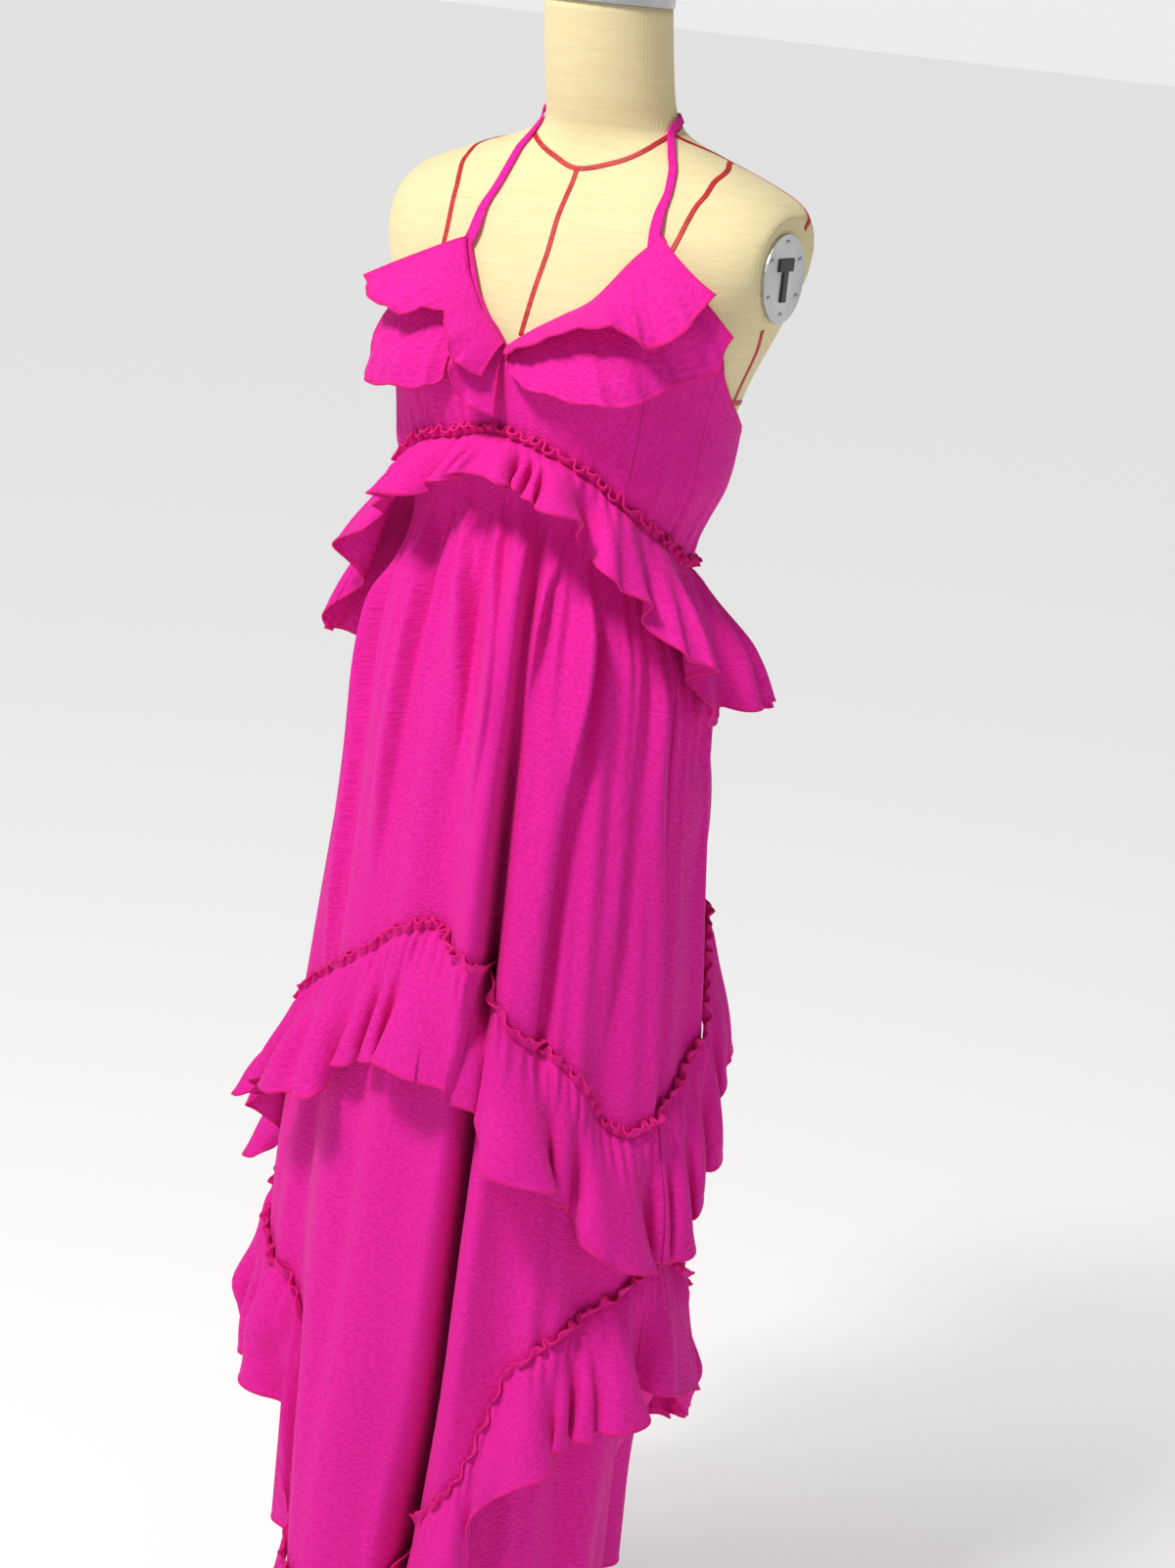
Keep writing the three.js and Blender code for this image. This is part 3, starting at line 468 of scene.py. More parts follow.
# %% Sizes of the skirt
HEM_HEIGHT, SKIRT_CORNER, SKIRT_SPRING, HIP_CLEARANCE, CREASE_START = 110, 2.1, 120, 4, 80
SKIRT = table("height halfWidth front back", [
    (110, 188, 188, 148), (400, 188, 187, 148), (500, 190, 183, 152), (700, 177, 165, 145),
    (800, 168, 158, 132), (890, 160, 150, 126), (970, 155, 140, 118), (1060, 140, 124, 100),
    (1170, 132, 112, 98)])
FLUTE = {"angle": -11, "spread": 16, "out": 20, "from": 250, "to": 480}
FOLLOW_FROM, FOLLOW_TO, FOLLOWED = 12, 28, 0.5
CREASE_HEIGHTS = np.array([110.0, 600.0, 1060.0])
CREASES = table("hem knee waist hemDepth kneeDepth waistDepth spread", [
    (-166, -168, -170, 20, 8, 3, 7), (-146, -147, -148, 22, 10, 3, 7), (-122, -124, -126, 20, 9, 3, 7),
    (-100, -102, -104, 6, 8, 3, 7), (-62, -62, -62, 2, 7, 3, 6), (-24, -39, -46, 16, 14, 2, 8),
    (-8, -16, -22, 0, 5, 4, 6), (6, 5, 2, 2, 5, 4, 5), (15, 20, 25, 44, 14, 4, 6), (36, 36, 46, 8, 10, 4, 6),
    (57, 58, 61, 13, 6, 2, 6), (90, 90, 90, 2, 5, 2, 6), (114, 112, 108, 2, 9, 3, 8),
    (146, 136, 130, 16, 9, 3, 7), (162, 155, 150, 16, 9, 3, 7), (174, 172, 170, 20, 8, 3, 7)])
DEEP_FOLDS = table("angle depth spread from to", [
    (-62, 54, 12, 200, 420), (-46, 50, 12, 200, 420), (-31, 44, 9, 200, 420),
    (88, 50, 12, 180, 380), (104, 52, 12, 180, 380), (119, 46, 11, 180, 380)])

# %% Pleats of the skirt: the angle of each sharp edge at six heights, and how far it stands out
PLEAT_HEIGHTS = np.array([560.0, 700.0, 850.0, 960.0, 1040.0, 1110.0])
PLEATS = table("a b c d e f rise wide lowest highest", [
    (21, 20, 19, 19.5, 19.5, 18, 13, 13, 610, 1128), (37, 37, 39, 43, 47, 56, 10, 10, 600, 1060),
    (74, 74, 73, 71, 70, 70, 5, 6, 520, 1000), (2, 2, 2, 2, -4, -14, 7, 7, 860, 1134),
    (11, 11, 12, 13.5, 10, 3, 7, 6, 820, 1146), (-22, -22, -22, -23, -26, -35, 8, 8, 760, 1106),
    (24, 24, 24, 25, 28, 36, 7, 5, 880, 1110), (44, 44, 44, 44, 44, 44, 6, 5, 860, 1084),
    (-44, -44, -46, -50, -53, -56, 7, 10, 640, 1050), (58, 58, 60, 61, 61, 61, 4, 6, 640, 1030)])

# The deep narrow fold that the left front makes over the middle, and its two lips
SLIT_HEIGHTS = np.array([110.0, 230.0, 344.0, 462.0, 600.0, 760.0])
SLIT_ANGLES = np.array([12.0, 15.0, 18.5, 20.0, 21.5, 22.5])
SLIT = {"deep": 58, "wide": 1.9, "lip": 9, "lip_wide": 3.6, "lip_at": 5.2, "from": 600, "to": 1040}

# %% Seam lines round the body
WAIST_LINE = table("angle height", [
    (-180, 1058), (-130, 1059), (-100, 1066), (-80, 1092), (-60, 1118), (-39, 1146), (-20, 1157), (-4, 1165),
    (9, 1162), (22, 1156), (39, 1139), (60, 1105), (76, 1084), (91, 1065), (120, 1058), (180, 1058)])
KNEE_LINE = table("angle height", [
    (-180, 752), (-140, 740), (-115, 655), (-90, 572), (-75, 577), (-60, 622), (-47, 668), (-27, 701),
    (-7, 743), (4, 756), (14, 741), (24, 716), (30, 682), (47, 650), (59, 602), (67, 592), (76, 604),
    (97, 655), (112, 722), (126, 750), (145, 752), (180, 752)])
ANKLE_LINE = table("angle height", [
    (-180, 184), (-165, 240), (-145, 340), (-120, 380), (-84, 466), (-60, 440), (-46, 412), (-36, 392),
    (-31, 350), (-26, 262), (-21, 190), (-14, 160), (-3, 155), (8, 166), (20, 237), (28, 280), (39, 378),
    (58, 428), (83, 466), (120, 380), (145, 340), (165, 240), (180, 184)])

# %% Ruffle waves: each crest's place, how far its hem stands out and how long it drops
WAIST_WAVES = table("crest out trough drop", [
    (-157, 44, 20, 120), (-134, 46, 22, 122), (-111, 48, 22, 126), (-86, 47, 18, 132), (-58, 42, 20, 66),
    (-28, 44, 20, 46), (4, 42, 18, 28), (28, 42, 20, 36), (52, 46, 16, 64), (69, 52, 16, 90),
    (85, 16, 14, 128), (104, 38, 18, 106), (128, 50, 22, 122), (153, 46, 22, 120), (178, 44, 20, 118)])
KNEE_WAVES = table("crest out trough drop", [
    (-166, 32, 10, 112), (-139, 34, 8, 112), (-112, 34, 8, 110), (-85, 38, 10, 110), (-61, 31, 10, 70),
    (-32, 32, 8, 104), (9, 26, 6, 108), (34, 34, 8, 104), (62, 32, 6, 108), (84, 14, 6, 128),
    (103, 8, 4, 122), (122, 14, 6, 108), (144, 32, 8, 112), (166, 32, 10, 112)])
ANKLE_WAVES = table("crest out trough drop", [
    (-168, 30, 8, 104), (-145, 30, 8, 104), (-121, 30, 8, 104), (-94, 34, 8, 104), (-62, 32, 10, 122),
    (-40, 24, 6, 104), (-12, 22, 6, 76), (9, 24, 6, 86), (27, 26, 6, 90), (45, 30, 8, 92), (64, 30, 8, 98),
    (88, 34, 8, 112), (119, 32, 8, 104), (145, 30, 8, 104), (168, 30, 8, 104)])

# %% Bodice edges
LEFT_NECKLINE = table("angle height", [(0, 1237), (13, 1257), (27, 1274), (34, 1288), (44, 1317), (52, 1339)])
RIGHT_NECKLINE = table("angle height", [(-36, 1318), (-27, 1296), (-15, 1267), (-6, 1250), (0, 1237)])
BACK_EDGE = table("angle height", [
    (52, 1339), (55, 1318), (58, 1306), (63, 1289), (74, 1248), (80, 1226), (90, 1203), (105, 1181),
    (130, 1160), (180, 1150), (230, 1160), (255, 1181), (270, 1200), (284, 1236), (300, 1262), (306, 1275),
    (313, 1280), (319, 1297), (324, 1318)])

# %% Flounces: from a place on the neckline to a place on the hem, and how far the hem stands out
FLOUNCE_COLUMNS = "fromAngle fromHeight toAngle toHeight out"
LEFT_LOWER = table(FLOUNCE_COLUMNS, [
    (1, 1236, 3, 1226, 8), (5, 1243, 8, 1216, 16), (11, 1252, 14, 1210, 20), (17, 1260, 22, 1207, 22),
    (23, 1268, 31, 1205, 26), (29, 1276, 39, 1205, 30), (35, 1288, 47, 1208, 26), (40, 1303, 55, 1221, 18),
    (44, 1315, 61, 1228, 16), (48, 1326, 68, 1235, 24), (51, 1334, 72, 1250, 20)])
LEFT_UPPER = table(FLOUNCE_COLUMNS, [
    (1, 1238, 3, 1232, 14), (5, 1245, 8, 1238, 26), (11, 1254, 14, 1245, 30), (17, 1262, 20, 1253, 34),
    (23, 1270, 26, 1262, 40), (29, 1278, 33, 1267, 44), (35, 1290, 39, 1268, 40), (40, 1305, 44, 1258, 38),
    (44, 1317, 49, 1256, 34), (48, 1328, 56, 1270, 34), (51, 1337, 63, 1288, 26)])
RIGHT_LOWER = table(FLOUNCE_COLUMNS, [
    (-35, 1313, -58, 1206, 20), (-33, 1306, -54, 1190, 26), (-30, 1298, -44, 1189, 28),
    (-26, 1287, -33, 1192, 24), (-22, 1278, -25, 1195, 18), (-18, 1269, -20, 1206, 12),
    (-14, 1260, -16, 1226, 18), (-10, 1253, -12, 1216, 30), (-6, 1246, -8, 1190, 26),
    (-1, 1236, 2, 1181, 16)])
RIGHT_UPPER = table(FLOUNCE_COLUMNS, [
    (-35, 1316, -57, 1262, 34), (-33, 1309, -47, 1260, 40), (-30, 1301, -38, 1257, 42),
    (-26, 1290, -31, 1253, 38), (-22, 1281, -25, 1260, 30), (-18, 1272, -20, 1258, 26),
    (-14, 1263, -15, 1246, 34), (-10, 1256, -11, 1234, 40), (-6, 1249, -8, 1222, 38),
    (-1, 1239, -2, 1214, 26)])

# %% Straps: places on the form
LEFT_STRAP = table("along angle height lift", [
    (0, 51, 1340.5, 5.6), (1, 52, 1361, 2), (2, 54, 1383, 1.8), (3, 60, 1401, 1.8), (4, 78, 1417, 1.8),
    (5, 104, 1424, 1.6), (6, 142, 1425, 1.4), (7, 179.85, 1425, 1.4)])
RIGHT_STRAP = table("along angle height lift", [
    (0, -36.5, 1319.5, 5.6), (1, -39, 1342, 2), (2, -40.5, 1364, 1.8), (3, -43, 1386, 1.8),
    (4, -49, 1405, 1.8), (5, -68, 1419, 1.8), (6, -104, 1425, 1.6), (7, -142, 1425, 1.4),
    (8, -179.85, 1425, 1.4)])
print("tables:", len(CREASES["hem"]), "creases,", len(WAIST_WAVES["crest"]), "waist waves")

# %% [markdown]
# ## The form and the cloth on it
# A body and a long dress are both tubes round an upright axis, so each shape can be a distance from that
# axis for an angle and a height. That is easier to lay cloth on than a sculpted mesh: the bodice is the
# form's distance plus a clearance, and the skirt is an oval tube with folds pressed into it that rests on
# the hips wherever it would cut into them.


# %% Distances from the axis
def centre_y(height):
    return curve(FORM["height"], FORM["centre"], height)


def place(angle, radius, height):
    a = np.radians(angle)
    x, y = radius * np.sin(a), centre_y(height) - radius * np.cos(a)
    return np.stack(np.broadcast_arrays(x, y, height), -1)


def oval(angle, half_width, front, rear, corner):
    a = np.radians(angle)
    forward = np.cos(a)
    across = np.abs(np.sin(a) / half_width) ** corner
    along = np.abs(forward / np.where(forward > 0, front, rear)) ** corner
    return (across + along) ** (-1 / corner)


def torso(angle, height):
    sizes = (curve(FORM["height"], FORM[c], height) for c in ("halfWidth", "front", "back", "corner"))
    return oval(angle, *sizes)


def bust(angle, height, shape):
    rise = (height - shape["height"]) / np.where(height > shape["height"], shape["above"], shape["below"])
    inner = np.abs(fold(angle)) < shape["angle"]
    total = 0
    for peak in (-shape["angle"], shape["angle"]):
        turn = fold(angle - peak) / np.where(inner, shape["spread"], BUST["spread"])
        total = total + shape["out"] * np.exp(-turn**2 - rise**2)
    return total


def form_radius(angle, height):
    facet = ARM_FACET / np.maximum(np.abs(np.sin(np.radians(angle))), 0.001)
    return np.minimum(torso(angle, height) + bust(angle, height, BUST), facet)


def bodice_radius(angle, height):
    rise = (height - BLOUSE["height"]) / np.where(height > BLOUSE["height"], BLOUSE["above"], BLOUSE["below"])
    blouse = BLOUSE["out"] * smooth(BLOUSE["from"], BLOUSE["to"], np.abs(fold(angle))) * np.exp(-rise**2)
    ease = BODY_CLEARANCE + CUP_EASE * smooth(EASE_FROM, EASE_TO, height)
    return torso(angle, height) + bust(angle, height, BUST_CLOTH) + ease + CLOTH / 2 + blouse


def creases(angle, height):
    """How deep the long folds are: those of the whole skirt, and the deep ones at the sides of its hem."""
    total = 0
    levels = ("hem", "knee", "waist")
    for k, spread in enumerate(CREASES["spread"]):
        at = curve(CREASE_HEIGHTS, np.array([CREASES[c][k] for c in levels]), height)
        depth = curve(CREASE_HEIGHTS, np.array([CREASES[c + "Depth"][k] for c in levels]), height)
        total = total + depth * np.exp(-(fold(angle - at) / spread) ** 2)
    for k, depth in enumerate(DEEP_FOLDS["depth"]):
        at, spread, start, end = (DEEP_FOLDS[c][k] for c in ("angle", "spread", "from", "to"))
        total = total + depth * (1 - smooth(start, end, height)) * np.exp(-(fold(angle - at) / spread) ** 2)
    return total


def skirt_envelope(angle, height):
    """The skirt without its folds: an oval tube with one wide flute at the front of the hem."""
    sizes = (curve(SKIRT["height"], SKIRT[c], height) for c in ("halfWidth", "front", "back"))
    flute = FLUTE["out"] * np.exp(-(fold(angle - FLUTE["angle"]) / FLUTE["spread"]) ** 2)
    flute = flute * (1 - smooth(FLUTE["from"], FLUTE["to"], height))
    return oval(angle, *sizes, SKIRT_CORNER) + flute


def skirt_gathers(angle, drop):
    fine = 1.2 * ripple(angle, 92, 0.4) * smooth(0, 10, drop) * (1 - smooth(30, 150, drop))
    middle = 2.2 * ripple(angle, 41, 1.3, 1.5) * smooth(10, 50, drop) * (1 - smooth(110, 340, drop))
    wide = 1.8 * ripple(angle, 17, 2.2, 1.8) * smooth(60, 220, drop)
    return fine + middle + wide


PLEAT_DEPTH, PLEAT_GROWS, PLEAT_FADES = 1.45, 140, 50


def pleat_edges(angle, height):
    """Pleats that swell towards a sharp edge on the wearer's left and drop into a hollow behind it."""
    total = 0
    for k, rise in enumerate(PLEATS["rise"]):
        edge = curve(PLEAT_HEIGHTS, np.array([PLEATS[c][k] for c in "abcdef"]), height)
        turn = fold(angle - edge)
        swell = smooth(-PLEATS["wide"][k], -0.6, turn) * (1 - smooth(0, 1.7, turn))
        hollow = 0.4 * np.exp(-((turn - 4) / 2.6) ** 2)
        low, high = PLEATS["lowest"][k], PLEATS["highest"][k]
        shown = smooth(low, low + PLEAT_GROWS, height) * (1 - smooth(high - PLEAT_FADES, high, height))
        total = total + rise * (swell - hollow) * shown
    return PLEAT_DEPTH * total


def slit(angle, height):
    """The deep narrow fold below the knee ruffle, with a rounded lip on each side."""
    turn = fold(angle - curve(SLIT_HEIGHTS, SLIT_ANGLES, height))
    lips = sum(np.exp(-((turn + way * SLIT["lip_at"]) / SLIT["lip_wide"]) ** 2) for way in (-1, 1))
    cut = SLIT["deep"] * np.exp(-np.abs(turn / SLIT["wide"]) ** 3)
    return (SLIT["lip"] * lips - cut) * (1 - smooth(SLIT["from"], SLIT["to"], height))


def skirt_radius(angle, height):
    drop = line_height(WAIST_LINE, angle) - height
    hung = skirt_envelope(angle, height) - creases(angle, height) * smooth(0, CREASE_START, drop)
    resting = form_radius(angle, height) + HIP_CLEARANCE
    folds = (pleat_edges(angle, height) + slit(angle, height)) * smooth(20, 80, drop)
    held = np.maximum(hung + skirt_gathers(angle, drop) + folds, resting)
    return mix(bodice_radius(angle, height), held, smooth(0, SKIRT_SPRING, drop))


print("waist half width:", round(float(form_radius(90.0, 1029.0))), "mm")

# %% [markdown]
# ## Making sheets
# Real crepe is under a millimetre thick. A Solidify modifier could thicken a grid of points, but here the
# same step also swells the rolled hems and writes the map and the edge mark, so it is done on the points.
# A sheet gets a little thickness, a thicker edge where it is hemmed, a map in metres along and across the
# cloth, and a mark along its stitched edges. Its size laid flat is measured from the same points.


# %% Mesh helpers
def mesh_object(name, points, faces, material, uv=None, edge=None):
    mesh = bpy.data.meshes.new(name)
    listed = faces.tolist() if isinstance(faces, np.ndarray) else faces
    mesh.from_pydata((np.asarray(points) / 1000).tolist(), [], listed)
    if uv is not None:
        layer = mesh.uv_layers.new(name="cloth")
        corners = np.zeros(len(mesh.loops), np.int32)
        mesh.loops.foreach_get("vertex_index", corners)
        layer.data.foreach_set("uv", np.asarray(uv)[corners].astype(np.float32).ravel())
    if edge is not None:
        mark = mesh.attributes.new("edge", "FLOAT", "POINT")
        mark.data.foreach_set("value", np.asarray(edge).astype(np.float32).ravel())
    mesh.polygons.foreach_set("use_smooth", np.ones(len(mesh.polygons), bool))
    mesh.materials.append(MATERIALS[material])
    made = bpy.data.objects.new(name, mesh)
    bpy.context.collection.objects.link(made)
    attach(made, "root")
    return made


def grid_normals(points):
    along = np.gradient(points, axis=0)
    down = np.gradient(points, axis=1)
    normal = np.cross(down, along)
    return normal / np.maximum(np.linalg.norm(normal, axis=-1, keepdims=True), 1e-9)


def grid_faces(columns, rows):
    i, j = np.meshgrid(np.arange(columns - 1), np.arange(rows - 1), indexing="ij")
    first = i * rows + j
    return np.stack([first, first + 1, first + rows + 1, first + rows], -1).reshape(-1, 4)


def rim_faces(columns, rows):
    """Quads that close the border between the front grid and the back grid."""
    top = [(i * rows, (i + 1) * rows) for i in range(columns - 1)]
    right = [((columns - 1) * rows + j, (columns - 1) * rows + j + 1) for j in range(rows - 1)]
    low = [((i + 1) * rows + rows - 1, i * rows + rows - 1) for i in range(columns - 1)]
    left = [(j + 1, j) for j in range(rows - 1)]
    ring = np.array(top + right + low + left)
    return np.stack([ring[:, 0], ring[:, 1], ring[:, 1] + columns * rows, ring[:, 0] + columns * rows], -1)


def cloth_lengths(points):
    """The cloth's own lengths along and down it at each point, in metres."""
    along = np.linalg.norm(np.diff(points, axis=0), axis=-1)
    down = np.linalg.norm(np.diff(points, axis=1), axis=-1)
    u = np.concatenate([[0], np.cumsum(along.mean(axis=1))])
    v = np.concatenate([[0], np.cumsum(down.mean(axis=0))])
    return np.stack(np.meshgrid(u, v, indexing="ij"), -1) / 1000


# %% Sheets
HEM_LOOK, HEM_SWELL, HEM_WIDE, HEM_ENDS = 0.75, 0.45, 1.6, 2.8
SEWN = {}


def sheet(name, points, hems=(), stitched=None, thickness=SHEET, material="crepe"):
    """A thin closed sheet on a grid of middle points. hems: the sides with a rolled edge."""
    columns, rows = points.shape[:2]
    normal = grid_normals(points)
    lengths = cloth_lengths(points)
    near = np.zeros((columns, rows))
    for side in hems:
        distance = {"top": lengths[..., 1], "low": lengths[..., 1].max() - lengths[..., 1],
                    "start": lengths[..., 0], "end": lengths[..., 0].max() - lengths[..., 0]}[side] * 1000
        near = np.maximum(near, 1 - smooth(HEM_WIDE, HEM_ENDS, distance))
    edge = near * HEM_LOOK if stitched is None else np.maximum(near * HEM_LOOK, stitched)
    half = (thickness / 2 + HEM_SWELL * near)[..., None]
    both = np.concatenate([(points + normal * half).reshape(-1, 3), (points - normal * half).reshape(-1, 3)])
    quads = grid_faces(columns, rows)
    faces = np.concatenate([quads, quads[:, ::-1] + columns * rows, rim_faces(columns, rows)])
    made = mesh_object(name, both, faces, material, np.tile(lengths.reshape(-1, 2), (2, 1)),
                       np.tile(edge.ravel(), 2))
    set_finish(made, material)
    falling, rising = points[1:, 1:] - points[:-1, :-1], points[1:, :-1] - points[:-1, 1:]
    doubled = np.linalg.norm(np.cross(falling, rising), axis=-1).sum()
    wide = np.linalg.norm(np.diff(points, axis=0), axis=-1).sum(axis=0).max() / 1000
    long = np.linalg.norm(np.diff(points, axis=1), axis=-1).sum(axis=1).max() / 1000
    SEWN[name] = (float(wide), float(long), float(doubled / 2e6))
    return made


def spaced(start, end, step):
    return np.linspace(start, end, max(int(round(abs(end - start) / step)), 1) + 1)


def with_dense_ends(values, first, last, extra=(1.2, 2.4)):
    """Rows with two more close to each end, given in the same units as first and last."""
    more = [values[0] + first * e for e in extra] + [values[-1] - last * e for e in extra]
    return np.unique(np.concatenate([values, more]))


# %% [markdown]
# ## Dress form
# The padded torso is smooth and whole, and it is cut off flat below the hips and at the neck. A lathe
# would give a round body, so its rings are ovals whose width, front and back come from the table.

# %% Torso and neck
FORM_COLUMNS = 200
form_heights = np.unique(np.concatenate([spaced(FORM_BOTTOM, NECK_TOP, 7.5), spaced(1330, 1450, 3)]))
ring_angles = np.linspace(-180, 180, FORM_COLUMNS, endpoint=False)
ring, level = np.meshgrid(ring_angles, form_heights, indexing="ij")
torso_points = place(ring, form_radius(ring, level), level)
torso_points = np.concatenate([torso_points, torso_points[:1]])
rows = len(form_heights)
quads = grid_faces(FORM_COLUMNS + 1, rows) % (FORM_COLUMNS * rows)
caps = [list(range(0, FORM_COLUMNS * rows, rows)), list(range(FORM_COLUMNS * rows - 1, 0, -rows))]
form = mesh_object("form_torso", torso_points[:-1].reshape(-1, 3), quads.tolist() + caps, "form_cover")
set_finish(form, "form_cover")
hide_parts("form_body")
print("form:", len(form.data.polygons), "faces")

# %% [markdown]
# Narrow red tapes mark the form's seams, and they show where the dress leaves it bare. A tape could be a
# curve wrapped onto the form by a modifier. It is made as a band on the form's own points instead, and
# the same function lays the halter straps later.

# %% Bands on the form
def on_form(angle, height, lift):
    step_angle, step_height = 1.5, 2.0
    at = lambda a, h: place(a, form_radius(a, h), h)
    east = at(angle + step_angle, height) - at(angle - step_angle, height)
    up = at(angle, height + step_height) - at(angle, height - step_height)
    normal = np.cross(east, up)
    normal /= np.maximum(np.linalg.norm(normal, axis=-1, keepdims=True), 1e-9)
    return at(angle, height) + normal * np.asarray(lift)[..., None], normal


def band(name, angles, heights, lift, width, thickness, material, steps=16, taper=0.0):
    """A flat band on the form along places given by angle and height. taper: how much it narrows."""
    along = np.arange(len(angles), dtype=float)
    s = np.linspace(0, along[-1], steps * (len(angles) - 1) + 1)
    angle, height = curve(along, np.array(angles, float), s), curve(along, np.array(heights, float), s)
    lifts = curve(along, np.broadcast_to(np.asarray(lift, float), along.shape), s)
    middle, normal = on_form(angle, height, lifts)
    ahead_way = np.gradient(middle, axis=0)
    across = np.cross(normal, ahead_way)
    across /= np.maximum(np.linalg.norm(across, axis=-1, keepdims=True), 1e-9)
    strips = np.linspace(0.5, -0.5, 7)
    widths = width * (1 - taper * smooth(1, 2.5, s))
    points = middle[:, None, :] + across[:, None, :] * (strips * widths[:, None])[..., None]
    return sheet(name, points, thickness=thickness, material=material)


# %% Style tapes
TAPE_WIDTH, TAPE_THICK, TAPE_LIFT = 4.2, 0.5, 0.4
TAPES = {
    "tape_neck": [(-180, 1424), (-140, 1424), (-105, 1423), (-75, 1416), (-56, 1407), (-38, 1397),
                  (-20, 1387), (1, 1379), (27, 1388), (53, 1405), (79, 1415), (105, 1421), (140, 1424),
                  (180, 1424)],
    "tape_centre_front": [(1, 1379), (3, 1349), (5, 1315), (4, 1279), (3, 1246)],
    "tape_princess_left": [(54, 1316), (56.5, 1335), (59, 1352), (62, 1368), (69, 1383), (85, 1393),
                           (97, 1396)],
    "tape_shoulder_left": [(74, 1414), (90, 1404), (97, 1396), (98.5, 1380), (99, 1366), (97, 1350)],
    "tape_princess_right": [(-96, 1396), (-82, 1391), (-67, 1381), (-60.5, 1369), (-55, 1352),
                            (-50.5, 1333), (-46, 1300)],
    "tape_side_left": [(87.5, 1269), (90.5, 1250), (92, 1228), (93, 1196)],
    "tape_bust_left": [(86, 1208), (95, 1205), (105, 1203)],
    "tape_centre_back": [(180, 1424), (180, 1380), (180, 1300), (180, 1220), (180, 1160)],
}
for name, places in TAPES.items():
    tape = band(name, [p[0] for p in places], [p[1] for p in places], TAPE_LIFT, TAPE_WIDTH, TAPE_THICK,
                "style_tape")
    tape["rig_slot"] = "form_cover"
print("tapes:", len(TAPES))

# %% [markdown]
# ## Stand, cap and arm plates
# The cap, the plates with their keys and the stand are plain turned and cut parts, and the CAD solids
# already have their shape, so they are kept. Each gets its finish, and all but the pole also get a small
# bevel from a modifier, since a sharp CAD edge catches no light.

# %% Finish the CAD solids
FINISHES = {"neck_cap": "bright_metal", "arm_plate_left": "bright_metal", "arm_plate_right": "bright_metal",
            "arm_key_left": "dark_plastic", "arm_key_right": "dark_plastic", "stand_base": "stand_paint",
            "stand_hub": "stand_paint", "stand_pole": "bright_metal", "form_flange": "stand_paint"}
BEVEL = {"arm_plate_left": 0.0005, "arm_plate_right": 0.0005, "arm_key_left": 0.0004, "arm_key_right": 0.0004,
         "neck_cap": 0.0012, "stand_base": 0.002, "stand_hub": 0.0015, "form_flange": 0.0015}
for name, finish in FINISHES.items():
    solid = frame["nodes"][name]
    solid.data.materials.clear()
    solid.data.materials.append(MATERIALS[finish])
    if name in BEVEL:
        bevel = solid.modifiers.new("bevel", "BEVEL")
        bevel.width, bevel.segments, bevel.limit_method = BEVEL[name], 2, "ANGLE"
print("finished:", len(FINISHES))

# %% [markdown]
# Six small domed screws hold each arm plate. They are too small for the solids, so one joined mesh per
# plate is made here from a ring of rings.

# %% Screws round the arm plates
PLATE_Y, PLATE_HEIGHT, PLATE_FACE = 17, 1311, ARM_FACET + SEAM_GAP + 2.5
SCREW_COUNT, SCREW_RING, SCREW_RADIUS, SCREW_PROUD, SCREW_SIDES = 6, 29.5, 2.6, 1.1, 16
SCREW_PROFILE = ((SCREW_RADIUS, -0.1), (SCREW_RADIUS, 0.5), (SCREW_RADIUS * 0.7, SCREW_PROUD),
                 (0.001, SCREW_PROUD - 0.5))


def screw_ring(name, side):
    points, faces = [], []
    for turn in range(SCREW_COUNT):
        a = math.radians(30 + 360 / SCREW_COUNT * turn)
        middle = np.array([0, PLATE_Y + SCREW_RING * math.cos(a), PLATE_HEIGHT + SCREW_RING * math.sin(a)])
        for radius, out in SCREW_PROFILE:
            for k in range(SCREW_SIDES):
                b = 2 * math.pi * k / SCREW_SIDES
                offset = np.array([side * (PLATE_FACE + out), radius * math.cos(b), radius * math.sin(b)])
                points.append(middle + offset)
        start = turn * len(SCREW_PROFILE) * SCREW_SIDES
        for ring_index in range(len(SCREW_PROFILE) - 1):
            for k in range(SCREW_SIDES):
                low, high = start + ring_index * SCREW_SIDES, start + (ring_index + 1) * SCREW_SIDES
                n = (k + 1) % SCREW_SIDES
                quad = (low + k, low + n, high + n, high + k)
                faces.append(quad if side > 0 else quad[::-1])
    made = mesh_object(name, np.array(points), faces, "bright_metal")
    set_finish(made, "bright_metal")


screw_ring("plate_screws_left", 1)
screw_ring("plate_screws_right", -1)
print("screws:", 2 * SCREW_COUNT)

# %% [markdown]
# ## Bodice
# The bodice is cut as five panels: a triangular cup on each side of the centre front, a side panel from
# each princess seam to the side seam, and one low panel across the back. It is drawn close over the bust
# and blouses out a little over the gathered waist. Each panel is one grid from its top edge to the waist
# seam, and ends a hair before its neighbour so that the seam shows.

# %% Bodice panels
PUCKER, CRUSH, BLOUSE_FOLD, SEAM_GROOVE = 0.7, 0.5, 1.2, 0.35
LEAST_RELIEF, PANEL_LIFT = -0.6, 0.3


def seam_angles(start, end, radius, step):
    trim = math.degrees(SEAM_GAP / 2 / radius)
    return spaced(start + trim, end - trim, step)


def full_turn(angle):
    return np.where(fold(angle) < LEFT_PRINCESS, fold(angle) + 360, fold(angle))


